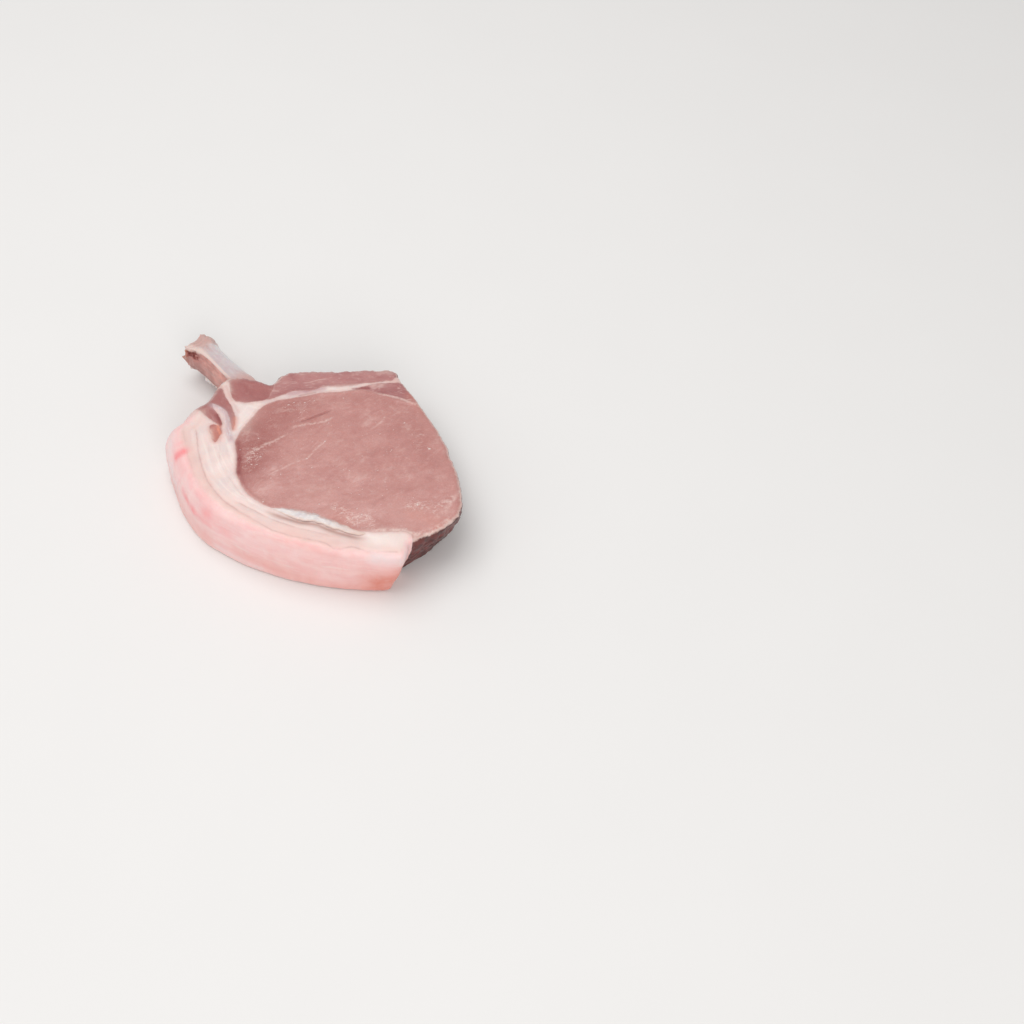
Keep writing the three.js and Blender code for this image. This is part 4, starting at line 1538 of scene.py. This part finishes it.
class Paint:
    """The node tree of one material, with the few moves that the finishes need."""

    def __init__(self, name: str) -> None:
        """Starts an empty tree."""
        self.material = bpy.data.materials.new(name)
        self.material.use_nodes = True
        self.tree = self.material.node_tree
        self.tree.nodes.clear()
        self.place = self.millimetres()

    def add(
        self, kind: str, settings: dict | None = None, sockets: dict | None = None, output: int | str = 0
    ) -> Wire:
        """Adds any node.

        Args:
            kind: Node type.
            settings: Properties, set first.
            sockets: Values or wires by input name or number.
            output: Which output to give back.

        Returns:
            The output as a wire.
        """
        node = self.tree.nodes.new(kind)
        for name, value in (settings or {}).items():
            setattr(node, name, value)
        for name, value in (sockets or {}).items():
            if isinstance(value, Wire):
                self.tree.links.new(value.socket, node.inputs[name])
            else:
                node.inputs[name].default_value = value
        return Wire(self, node.outputs[output])

    def millimetres(self) -> Wire:
        """The place on the object in millimetres."""
        place = self.add("ShaderNodeTexCoord", output="Object")
        return self.add("ShaderNodeVectorMath", {"operation": "SCALE"}, {0: place, "Scale": 1 / MM})

    def turned(self, angle: float, stretch: Point3) -> Wire:
        """The place turned about Z and then scaled, for patterns with a grain."""
        return self.add("ShaderNodeMapping", {"vector_type": "TEXTURE"},
                        {"Vector": self.place, "Rotation": (0, 0, angle), "Scale": stretch})

    def field(self, name: str) -> Wire:
        """A number kept on the mesh."""
        return self.add("ShaderNodeAttribute", {"attribute_name": name}, output="Fac")

    def noise(self, size: float, detail: float = 2.0, at: Wire | None = None, twist: float = 0.0) -> Wire:
        """Cloudy noise round 0.5 with lumps of a size in millimetres."""
        sockets = {"Vector": at or self.place, "Scale": 1 / size, "Detail": detail, "Distortion": twist}
        return self.add("ShaderNodeTexNoise", None, sockets | {"Roughness": NOISE_ROUGHNESS}, "Fac")

    def cells(self, size: float, feature: str, output: str, at: Wire | None = None) -> Wire:
        """A cell pattern with cells of a size in millimetres."""
        sockets = {"Vector": at or self.place, "Scale": 1 / size}
        return self.add("ShaderNodeTexVoronoi", {"feature": feature}, sockets, output)

    def channel(self, colour: Wire) -> Wire:
        """The first channel of a colour."""
        return self.add("ShaderNodeSeparateColor", None, {0: colour})

    def vector(self, x: Wire | float, y: Wire | float, z: Wire | float) -> Wire:
        """Three numbers as a vector."""
        return self.add("ShaderNodeCombineXYZ", None, {0: x, 1: y, 2: z})

    def step(self, low: Wire | float, high: Wire | float, value: Wire) -> Wire:
        """Goes smoothly from 0 at low to 1 at high."""
        smooth = {"interpolation_type": "SMOOTHSTEP"}
        return self.add("ShaderNodeMapRange", smooth, {0: value, 1: low, 2: high})

    def tint(self, share: Wire | float, plain: "Wire | Colour", painted: "Wire | Colour") -> Wire:
        """Mixes two colours by a share."""
        first, second = (c if isinstance(c, Wire) else linear(c) for c in (plain, painted))
        settings = {"data_type": "RGBA", "clamp_factor": True}
        return self.add("ShaderNodeMix", settings, {0: share, 6: first, 7: second}, 2)

    def marked(self, colour: Wire, name: str, share: Wire | float, tone: Colour) -> Wire:
        """Lays a tone where a field says, times a share that breaks it up."""
        return self.tint(self.field(name) * share, colour, tone)

    def relief(self, height: Wire, depth: float) -> Wire:
        """Bump of a depth in millimetres."""
        return self.add("ShaderNodeBump", None, {"Strength": 1.0, "Distance": depth * MM, "Height": height})

    def finish(
        self, colour: Wire, roughness: Wire, normal: Wire, **constants: float | tuple
    ) -> bpy.types.Material:
        """Ends the tree in a Principled shader.

        Args:
            colour: Base colour.
            roughness: Roughness.
            normal: Normal from the bump.
            constants: Values of further sockets, with _ for each space in their names.

        Returns:
            The material.
        """
        sockets = {name.replace("_", " "): value for name, value in constants.items()}
        sockets |= {"Base Color": colour, "Roughness": roughness, "Normal": normal}
        shader = self.add("ShaderNodeBsdfPrincipled", None, sockets)
        self.output(shader)
        return self.material

    def output(self, shader: Wire) -> None:
        """Joins a shader to the material's output."""
        node = self.tree.nodes.new("ShaderNodeOutputMaterial")
        self.tree.links.new(shader.socket, node.inputs["Surface"])


MOIST = {
    "Coat_Weight": 0.16,
    "Coat_Roughness": 0.2,
    "Specular_IOR_Level": 0.42,
    "Subsurface_Weight": 0.16,
    "Subsurface_Radius": (1.0, 0.42, 0.3),
    "Subsurface_Scale": 0.002,
}


@dataclass(frozen=True)
class LeanFinish:
    """Moist cut lean: mottled pink with threads of fat, pale veins and flecks; the outer side is darker,
    partly painted shade.
    """

    name: str
    pale: Colour
    rosy: Colour
    dark: Colour
    # The outer wall of the eye and side strip, with its patches of skin, is dark red-brown: partly the
    # muscle's own colour, partly painted shade as on a wall in heavy shadow.
    side: Colour = (106, 32, 26)
    side_dark: Colour = (64, 14, 12)
    seam: Colour = (224, 190, 182)
    edge: Colour = (210, 162, 154)
    film: Colour = (196, 160, 162)
    patch: Colour = (126, 60, 56)
    fringe_tone: Colour = (234, 210, 200)
    # Dark red for blood, and for a painted shadow inside the eye's left border.
    blood: Colour = (140, 66, 66)
    warm: Colour = (222, 140, 118)
    fleck: Colour = (238, 214, 206)
    pale_vein: Colour = (232, 204, 195)
    grain_turn: float = math.radians(40.0)
    grain_stretch: float = 1.6
    thread: float = 0.22
    speck: float = 0.35
    skin: float = 0.3
    fibre: float = 0.2
    border_share: float = 0.5
    fringe: float = 0.65
    fringe_reach: float = 1.6

    def material(self) -> bpy.types.Material:
        """Mixes the colours by noise, then draws threads, specks, veins, marks and the outer side."""
        paint = Paint(self.name)
        along = paint.turned(self.grain_turn, (self.grain_stretch, 0.85, 1.2))
        mottle = paint.noise(3.2, 3.0, along, 0.5)
        fibre = paint.noise(0.45, 2.0, along)
        ragged = paint.noise(1.3, 3.0)
        colour = self.flesh(paint, along, mottle, fibre)
        thread = self.threads(paint, along)
        colour = paint.tint(thread * self.thread, colour, self.seam)
        speck = self.specks(paint).most(self.frost(paint))
        colour = paint.tint(speck * self.speck, colour, self.fleck)
        vein = self.vein(paint)
        colour = paint.tint(vein * 0.8, colour, self.pale_vein)
        border = paint.field("border")
        soft_edge = 1 - paint.step(0.0, 0.7, border + (ragged - 0.5) * 1.0)
        colour = paint.tint(soft_edge * self.border_share, colour, self.edge)
        # Dark red marks: blood along some borders, and a painted shadow inside the eye's left border, where
        # the eye stands proud.
        colour = paint.marked(colour, "blood", 0.5 + ragged * 0.8, self.blood)
        colour = paint.marked(colour, "cream", 0.3 + ragged * 0.8, self.fringe_tone)
        colour = paint.marked(colour, "warm", 0.5 + ragged * 0.8, self.warm)
        colour = paint.marked(colour, "film", 0.5 + ragged * 0.7, self.film)
        colour = self.outside(paint, colour, ragged)
        bumps = fibre * 0.25 + mottle * 0.4 + ragged * 0.4 + vein * 0.25 + speck * 0.2 + thread * 0.1
        roughness = paint.step(0.3, 0.75, mottle) * 0.18 + 0.3
        return paint.finish(colour, roughness, paint.relief(bumps, 0.13), **MOIST)

    def flesh(self, paint: Paint, along: Wire, mottle: Wire, fibre: Wire) -> Wire:
        """Pale, rosy and dark patches; the tone field leans them to one or the other."""
        broad = paint.noise(13.0, 3.0)
        tone = paint.field("tone")
        lift = paint.step(0.26, 0.72, broad * 0.68 + mottle * 0.32 + tone * 0.18)
        colour = paint.tint(lift, self.rosy, self.pale)
        shade = paint.step(0.5, 0.78, paint.noise(4.6, 3.0, along, 0.8) - tone * 0.1)
        colour = paint.tint(shade * 0.26, colour, self.dark)
        # Darkens where the tone is negative; at the eye's left end this is painted shadow.
        colour = paint.tint((tone * -0.8).most(0.0), colour, self.dark)
        colour = paint.tint((1 - paint.step(0.28, 0.48, fibre)) * 0.16, colour, self.dark)
        return paint.tint(paint.step(0.52, 0.74, fibre) * self.fibre, colour, self.seam)

    def threads(self, paint: Paint, along: Wire) -> Wire:
        """Soft threads where cloudy noise passes its middle, in patches, from coarse and fine noise."""
        coarse = 1 - paint.step(0.0, 0.06, abs(paint.noise(6.0, 2.5, along, 0.25) - 0.5))
        fine = 1 - paint.step(0.0, 0.08, abs(paint.noise(2.8, 2.0, along, 0.3) - 0.5))
        patchy = paint.step(0.48, 0.66, paint.noise(6.5, 2.0))
        patchy_fine = paint.step(0.52, 0.68, paint.noise(4.0, 3.0, None, 0.3))
        return (coarse * patchy).most(fine * patchy_fine * 0.8)

    def frost(self, paint: Paint) -> Wire:
        """Dense fine threads of fat where the frost field says, broken up by noise."""
        at = paint.turned(self.grain_turn - 0.35, (2.4, 0.9, 1.0))
        fine = 1 - paint.step(0.0, 0.075, abs(paint.noise(1.5, 3.0, at, 0.45) - 0.5))
        broken = paint.step(0.46, 0.66, paint.noise(1.5, 3.0, None, 0.6) + paint.field("frost") * 0.1)
        return fine * broken * paint.step(0.08, 0.9, paint.field("frost")) * 1.5

    def specks(self, paint: Paint) -> Wire:
        """Small ragged dots in a few cells out of many."""
        chosen = paint.channel(paint.cells(1.6, "F1", "Color"))
        near = paint.cells(1.6, "F1", "Distance") + paint.noise(0.4, 2.0) * 0.25
        return (1 - paint.step(0.18, 0.32, near)) * paint.step(0.9, 0.94, chosen)

    def vein(self, paint: Paint) -> Wire:
        """Share of pale vein: a soft line of the vein's half width, broken up along its run."""
        wobble = (paint.noise(0.9, 2.0) - 0.5) * 0.7
        width = paint.field("vein_width")
        across = abs(paint.field("vein_side") + wobble)
        line = 1 - paint.step(width * 0.05, width * 1.9, across)
        near = 1 - paint.step(1.1, 1.5, paint.field("vein_near"))
        broken = paint.step(0.32, 0.62, paint.noise(1.7, 3.0))
        return line * near * broken * paint.field("vein_gain")

    def outside(self, paint: Paint, colour: Wire, ragged: Wire) -> Wire:
        """Lays a pale fringe along the top edge and, below it, the darker side with patches of skin, partly
        painted shade.
        """
        rim, height = paint.field("rim"), paint.field("height")
        cloud = paint.noise(3.4, 3.0, None, 0.6)
        side = paint.tint(paint.step(0.36, 0.66, cloud), self.side_dark, self.side)
        patches = paint.step(0.44, 0.66, paint.noise(5.0, 3.0, None, 0.8) + (height - 14.0) * 0.004)
        side = paint.tint(patches * self.skin, side, self.patch)
        edge = 1 - paint.step(0.2, self.fringe_reach, rim + (ragged - 0.5) * 1.6)
        fringe = edge * paint.step(10.0, 20.0, height)
        colour = paint.tint(fringe * self.fringe, colour, self.fringe_tone)
        level = height + (ragged - 0.5) * 1.4 + (paint.noise(4.0, 2.0) - 0.5) * 2.8
        share = (1 - paint.step(24.3, 25.5, level)) * (1 - paint.step(2.2, 3.0, rim))
        return paint.tint(share, colour, side)


@dataclass(frozen=True)
class FatFinish:
    """Firm cream fat in layers; towards the rind it turns pink, and the rind is pale rose with stains."""

    name: str = "fat_and_rind"
    cream: Colour = (238, 214, 207)
    milky: Colour = (229, 209, 205)
    white: Colour = (244, 228, 221)
    blush: Colour = (231, 191, 182)
    line: Colour = (202, 160, 154)
    thin: Colour = (218, 178, 171)
    edge: Colour = (208, 158, 150)
    rear: Colour = (226, 192, 182)
    rear_dark: Colour = (200, 154, 146)
    warm: Colour = (228, 150, 130)
    rind: Colour = (252, 214, 211)
    rind_rose: Colour = (248, 199, 197)
    rind_pale: Colour = (252, 228, 224)
    stain: Colour = (250, 138, 142)
    # Deeper rose, partly the rind's own colour and partly painted shade.
    deep: Colour = (225, 138, 122)
    lilac: Colour = (240, 222, 222)
    bruise: Colour = (192, 146, 150)
    # Brownish pink of the painted shadow below the torn silverskin.
    under: Colour = (194, 150, 139)
    film: Colour = (206, 177, 178)
    # Dark red for blood, and for a painted shadow beside the eye's left border.
    blood: Colour = (150, 78, 78)
    glint: Colour = (232, 222, 224)
    film_turn: float = math.radians(-66.0)

    def material(self) -> bpy.types.Material:
        """Paints the cut fat and the rind, and joins them along the ragged edge of the rind."""
        paint = Paint(self.name)
        rim, wall = paint.field("rim"), paint.field("wall")
        cloud = paint.noise(7.0, 3.0)
        ragged = paint.noise(1.2, 3.0)
        line = self.layer_line(paint)
        along, height = paint.field("rim_along"), paint.field("height")
        bands = paint.noise(2.4, 3.0, paint.vector(along * 0.12, height * 0.9, rim), 0.3)
        skin = wall.most(1 - paint.step(0.4, 2.6, rim + (cloud - 0.5) * 2.0 + (ragged - 0.5) * 0.8))
        skin = skin * (1 - (1 - wall) * (1 - paint.field("rind")))
        colour = paint.tint(skin, self.cut(paint, cloud, ragged, line), self.outer(paint, bands, cloud))
        colour = paint.marked(colour, "stain", 0.6 + ragged * 0.5, self.stain)
        pores = paint.noise(0.5, 2.0)
        bumps = ragged * 0.5 - line * 0.4 + skin * pores * 0.35 + bands * skin * 0.7
        roughness = 0.3 + paint.step(0.3, 0.7, cloud) * 0.14 + skin * 0.05
        return paint.finish(colour, roughness, paint.relief(bumps, 0.12), **MOIST)

    def layer_line(self, paint: Paint) -> Wire:
        """Thin lines between the layers of fat, with a soft shade beside them."""
        wobble = (paint.noise(1.8, 3.0) - 0.5) * 0.6
        across = abs(paint.field("vein_side") + wobble)
        near = (1 - paint.step(0.8, 1.15, paint.field("vein_near"))) * paint.field("layer")
        broken = paint.step(0.3, 0.6, paint.noise(6.0, 2.0)) * 0.75 + 0.25
        core = 1 - paint.step(0.05, 0.42, across)
        shade = 1 - paint.step(0.0, 1.1, across)
        return (core * 0.36 + shade * 0.22) * near * broken

    def cut(self, paint: Paint, cloud: Wire, ragged: Wire, line: Wire) -> Wire:
        """The cut fat: cream and milky clouds, blush towards the rind, rosy thin parts, and its marks."""
        rim, border = paint.field("rim"), paint.field("border")
        layers = paint.noise(1.6, 3.0, paint.vector(paint.field("rim_along") * 0.06, rim, 0.0))
        colour = paint.tint(paint.step(0.35, 0.65, cloud), self.cream, self.milky)
        colour = paint.tint(paint.step(0.45, 0.7, layers) * 0.6, colour, self.white)
        to_rind = 1 - paint.step(2.5, 9.0, rim + (cloud - 0.5) * 4.0)
        colour = paint.tint((to_rind * 0.75).most(paint.field("rosy")), colour, self.blush)
        colour = paint.marked(colour, "cream", 0.8, self.white)
        thin = 1 - paint.step(0.2, 2.2, border + (ragged - 0.5) * 1.4)
        colour = paint.tint((thin * 0.5).most(paint.field("thin")), colour, self.thin)
        edge = 1 - paint.step(0.0, 0.55, border + (ragged - 0.5) * 0.8)
        colour = paint.tint(edge * 0.6, colour, self.edge)
        colour = paint.marked(colour, "warm", 0.5 + ragged * 0.8, self.warm)
        colour = paint.marked(colour, "bruise", 0.5 + cloud * 0.8, self.bruise)
        # Painted shadow below the torn silverskin.
        colour = paint.marked(colour, "under", 0.75, self.under)
        colour = paint.marked(colour, "film", 0.75 + ragged * 0.4, self.film)
        # Painted highlight: bluish white glints in streaks over the film.
        threads = paint.noise(1.6, 3.0, paint.turned(self.film_turn, (3.0, 0.8, 1.0)))
        colour = paint.marked(colour, "film", paint.step(0.5, 0.7, threads) * 0.7, self.glint)
        # Dark red marks: blood along some borders, and a painted shadow beside the eye's left border.
        colour = paint.marked(colour, "blood", 0.5 + ragged * 0.8, self.blood)
        return paint.tint(line, colour, self.line)

    def outer(self, paint: Paint, bands: Wire, cloud: Wire) -> Wire:
        """The rind: pale rose with long faint streaks, deeper at the foot and lower right, partly painted
        shade, lilac where it is thin.
        """
        blotch = paint.noise(9.0, 3.0, None, 0.8)
        rind = paint.tint(paint.step(0.36, 0.64, bands * 0.5 + blotch * 0.5), self.rind, self.rind_rose)
        rind = paint.tint(paint.step(0.56, 0.74, bands) * 0.6, rind, self.rind_pale)
        # Painted shade: the rind turns deeper rose towards the foot.
        low = 1 - paint.step(1.0, 16.0, paint.field("height") + (cloud - 0.5) * 8.0)
        rind = paint.tint(low * 0.14, rind, self.deep)
        rind = paint.marked(rind, "deep", 0.6 + blotch * 0.6, self.deep)
        rind = paint.marked(rind, "lilac", 0.6 + bands * 0.6, self.lilac)
        rear = paint.tint(paint.step(0.4, 0.62, blotch), self.rear, self.rear_dark)
        return paint.tint(1 - paint.field("rind"), rind, rear)


@dataclass(frozen=True)
class SilverFinish:
    """Silverskin: bluish white in its middle, pink at the lean, with a thin warm lip at the torn edge."""

    name: str = "silverskin"
    tail: Colour = (224, 190, 178)
    white: Colour = (228, 215, 211)
    bluish: Colour = (210, 196, 197)
    root: Colour = (203, 158, 150)
    lip: Colour = (228, 196, 181)
    thread: Colour = (242, 238, 238)

    def material(self) -> bpy.types.Material:
        """Mixes by the share of the way across, with fine threads that run over the flap."""
        paint = Paint(self.name)
        across = paint.field("across")
        cloud = paint.noise(2.6, 3.0, None, 0.5)
        thread = paint.noise(0.5, 3.0, paint.turned(math.radians(-14.0), (5.0, 1.0, 1.0)))
        colour = paint.tint(paint.step(0.36, 0.64, cloud), self.white, self.bluish)
        colour = paint.tint(paint.step(0.55, 0.75, thread) * 0.5, colour, self.thread)
        root = 1 - paint.step(0.02, 0.42, across + (cloud - 0.5) * 0.5 + (thread - 0.5) * 0.7)
        colour = paint.tint(root * 0.9, colour, self.root)
        colour = paint.tint(1 - paint.field("middle"), colour, self.tail)
        lip = paint.step(0.72, 0.97, across + (cloud - 0.5) * 0.2)
        colour = paint.tint(lip * 0.8, colour, self.lip)
        return paint.finish(colour, cloud * 0.2 + 0.24, paint.relief(thread, 0.03), **MOIST)


@dataclass(frozen=True)
class BoneFinish:
    """Scraped bone: bluish white above with painted highlights, pink at the near side, a cream crest, dark
    red marrow.
    """

    name: str = "scraped_bone"
    top: Colour = (210, 194, 193)
    lilac: Colour = (203, 176, 180)
    tan: Colour = (203, 161, 151)
    pink: Colour = (230, 164, 152)
    pale: Colour = (224, 188, 178)
    shade: Colour = (168, 118, 113)
    crest: Colour = (228, 204, 195)
    # Bluish white of the painted highlight streaks on the top and along the far edge.
    edge: Colour = (226, 224, 224)
    root: Colour = (214, 169, 161)
    marrow: Colour = (124, 56, 50)
    sponge: Colour = (160, 92, 82)
    red: Colour = (184, 116, 94)
    glow: Colour = (218, 216, 217)
    streak_turn: float = RibBone.heading

    def material(self) -> bpy.types.Material:
        """Paints top, near side and crest by their fields, with patches of membrane, bloodstains, painted
        highlights and painted shade.
        """
        paint = Paint(self.name)
        way = paint.field("way")
        cloud = paint.noise(4.0, 3.0, None, 0.5)
        fine = paint.noise(0.7, 3.0)
        streak = paint.noise(1.1, 3.0, paint.turned(self.streak_turn, (5.0, 1.0, 1.0)))
        colour = paint.tint(paint.step(0.36, 0.7, cloud) * 0.7, self.top, self.lilac)
        # Painted highlight: bluish white streaks over the top.
        colour = paint.tint(paint.step(0.45, 0.75, streak) * 0.4, colour, self.edge)
        outer = paint.step(82.0, 90.0, way + (cloud - 0.5) * 9.0)
        root = 1 - paint.step(57.0, 68.0, way + (cloud - 0.5) * 4.0)
        # Painted highlight on the top, towards the far edge.
        colour = paint.marked(colour, "glow", streak * 0.9, self.glow)
        colour = paint.tint(outer * 0.85, colour, self.tan)
        # Painted highlight along the far edge.
        colour = paint.marked(colour, "far_edge", (1 - outer) * 0.7, self.edge)
        near = paint.step(0.3, 0.7, paint.field("near_side") + (streak - 0.5) * 0.7)
        pink = paint.tint(paint.step(0.4, 0.7, streak * 0.4 + cloud * 0.6) * 0.45, self.pink, self.shade)
        pink = paint.tint(paint.step(0.46, 0.66, streak) * 0.4, pink, self.pale)
        pink = paint.tint(paint.step(70.0, 86.0, way + (cloud - 0.5) * 16.0) * 0.75, pink, self.shade)
        # Painted shade along the lower near edge.
        pink = paint.marked(pink, "keel", 0.6 + cloud * 0.9, self.shade)
        torn_end = paint.step(89.5, 93.0, way + (fine - 0.5) * 3.0)
        pink = paint.tint(torn_end * 0.75, pink, self.red)
        colour = paint.tint(near, colour, pink)
        crest = paint.step(0.35, 0.8, paint.field("crest") + (fine - 0.5) * 0.5)
        colour = paint.tint(crest * 0.85, colour, self.crest)
        colour = paint.tint(root * 0.9, colour, self.root)
        inner = paint.field("marrow").most(paint.field("recess") * 0.9)
        sponge = paint.tint(paint.step(0.48, 0.62, paint.noise(0.9, 3.0)) * 0.6, self.marrow, self.sponge)
        colour = paint.tint(paint.step(0.08, 0.55, inner + (fine - 0.5) * 0.3), colour, sponge)
        bumps = fine * 0.5 + streak * 0.9
        roughness = 0.3 + paint.step(0.35, 0.65, cloud) * 0.2
        return paint.finish(colour, roughness, paint.relief(bumps, 0.18), **MOIST)


@dataclass(frozen=True)
class MembraneFinish:
    """Thin wet membrane: milky with a faint colour of what lies below."""

    name: str
    milky: Colour
    clear: Colour
    white: Colour = (240, 232, 228)
    thread: Colour = (246, 238, 234)

    def material(self) -> bpy.types.Material:
        """Mixes the two colours in soft patches, with fine threads."""
        paint = Paint(self.name)
        cloud = paint.noise(2.4, 3.0, None, 0.6)
        thread = paint.noise(0.6, 3.0, paint.turned(0.3, (4.0, 1.0, 1.0)))
        colour = paint.tint(paint.step(0.38, 0.64, cloud), self.milky, self.clear)
        colour = paint.marked(colour, "white", 0.9, self.white)
        colour = paint.tint(paint.step(0.55, 0.75, thread) * 0.3, colour, self.thread)
        roughness = 0.22 + cloud * 0.2
        return paint.finish(colour, roughness, paint.relief(thread, 0.1), **MOIST)


# ---- studio


@dataclass
class Studio:
    """Pale floor, soft light and the camera, in metres."""

    pitch: float = math.radians(54.27)
    roll: float = math.radians(3.0)
    camera_at: Point3 = (0.08817, -0.34994, 0.46333)
    film: float = 36.0
    focal_share: float = 1300.0 / 1024.0
    floor_size: float = 6.0
    floor_drop: float = 0.00002
    floor_tone: Colour = (238, 236, 234)
    surround: float = 0.5
    # Name, place, size and power of each light.
    lights: tuple[tuple[str, Point3, float, float], ...] = (
        ("key", (-0.25, 0.1, 1.15), 0.95, 7.0),
        ("front", (0.35, -1.2, 0.75), 0.8, 5.8),
    )

    def build(self) -> None:
        """Sets up everything that isn't the object."""
        self.floor()
        for light in self.lights:
            self.light(*light)
        self.world()
        self.camera()
        bpy.context.scene.view_settings.view_transform = "Standard"

    def floor(self) -> None:
        """A plain square just below the part."""
        half = self.floor_size / 2
        corners = np.array([(-half, -half), (half, -half), (half, half), (-half, half)])
        points = np.column_stack([corners, np.full(4, -self.floor_drop)])
        floor = mesh_object("floor", points, [np.array([[0, 1, 2, 3]])], {})
        paint = Paint("floor_pale")
        tone = paint.tint(paint.noise(60.0), self.floor_tone, tuple(c - 2 for c in self.floor_tone))
        shader = paint.add("ShaderNodeBsdfPrincipled", None, {"Base Color": tone, "Roughness": 0.75})
        paint.output(shader)
        floor.data.materials.append(paint.material)

    def light(self, name: str, place: Point3, size: float, power: float) -> None:
        """A square soft light that faces the part."""
        lamp = bpy.data.lights.new(name, "AREA")
        lamp.size, lamp.energy = size, power
        holder = bpy.data.objects.new(name, lamp)
        holder.location = place
        holder.rotation_euler = (-Vector(place)).to_track_quat("-Z", "Y").to_euler()
        bpy.context.scene.collection.objects.link(holder)

    def world(self) -> None:
        """An even white surround."""
        world = bpy.data.worlds.new("surround")
        world.use_nodes = True
        background = world.node_tree.nodes["Background"]
        background.inputs["Color"].default_value = (1.0, 1.0, 1.0, 1.0)
        background.inputs["Strength"].default_value = self.surround
        bpy.context.scene.world = world

    def camera(self) -> None:
        """Looks down by the pitch, turned about its own axis by the roll."""
        sin, cos = math.sin(self.pitch), math.cos(self.pitch)
        ahead, above = Vector((0, cos, -sin)), Vector((0, sin, cos))
        right = Vector((1, 0, 0)) * math.cos(self.roll) + above * math.sin(self.roll)
        above = above * math.cos(self.roll) - Vector((1, 0, 0)) * math.sin(self.roll)
        data = bpy.data.cameras.new("camera")
        data.lens, data.sensor_width = self.film * self.focal_share, self.film
        data.clip_start, data.clip_end = 0.01, 20.0
        camera = bpy.data.objects.new("camera", data)
        turn = Matrix((right, above, -ahead)).transposed().to_4x4()
        camera.matrix_world = Matrix.Translation(self.camera_at) @ turn
        bpy.context.scene.collection.objects.link(camera)
        bpy.context.scene.camera = camera


# ---- the chop


LEANS = {
    "loin_lean": LeanFinish("lean_eye", (201, 147, 140), (188, 129, 123), (164, 98, 92)),
    "side_lean": LeanFinish(
        "lean_side", (190, 136, 132), (176, 115, 114), (150, 88, 88), grain_turn=math.radians(7.0),
        grain_stretch=3.4, thread=0.55, speck=0.2, skin=0.35, border_share=0.25, fringe=0.6,
        fringe_reach=1.3,
    ),
    "dark_lean": LeanFinish(
        "lean_dark", (178, 116, 112), (164, 99, 97), (142, 76, 76), side=(206, 164, 158),
        side_dark=(190, 144, 139), patch=(176, 126, 122), grain_turn=math.radians(-50.0), thread=0.12,
        speck=0.05, skin=0.5, fibre=0.06, border_share=0.2, fringe=0.2, fringe_reach=1.0,
    ),
}
SHREDS = MembraneFinish("shreds", milky=(226, 206, 198), clear=(205, 150, 142))
FLECKS = MembraneFinish("flecks", milky=(230, 204, 196), clear=(218, 180, 172))


def build_chop() -> list[bpy.types.Object]:
    """Builds and dresses every piece of the chop.

    Returns:
        The pieces.
    """
    face = CutFace(Slab()).build()
    upper, lower = face.upper(), face.lower()
    finishes = {slot: finish.material() for slot, finish in LEANS.items()}
    fat = FatFinish().material()
    bone_finish = BoneFinish().material()
    pieces = []
    for region, muscle in enumerate(MUSCLES):
        body = Slice(face, region, upper, lower).build(muscle.name + "_cut")
        pieces.append(settle(body, muscle.slot, finishes[muscle.slot], muscle.name))
    pieces.append(settle(Slice(face, FAT, upper, lower).build("fat_cap_and_rind"), "fat", fat, "fat_cap"))
    bone = RibBone()
    pieces.append(settle(bone.build(), "bone", bone_finish, "rib_bone"))
    silver = SilverFinish().material()
    pieces.append(settle(Silverskin(face, upper).build(), "fat", silver))
    pieces.append(settle(TornMembrane(bone).build(), "bone", SHREDS.material()))
    pieces.append(settle(Flecks(face, upper).build(), "fat", FLECKS.material()))
    return pieces


def main() -> None:
    """Builds the chop and its studio."""
    logging.basicConfig(level=logging.INFO, format="%(name)s %(message)s")
    pieces = build_chop()
    LOG.info("%d pieces", len(pieces))
    Studio().build()


if __name__ == "__main__":
    main()
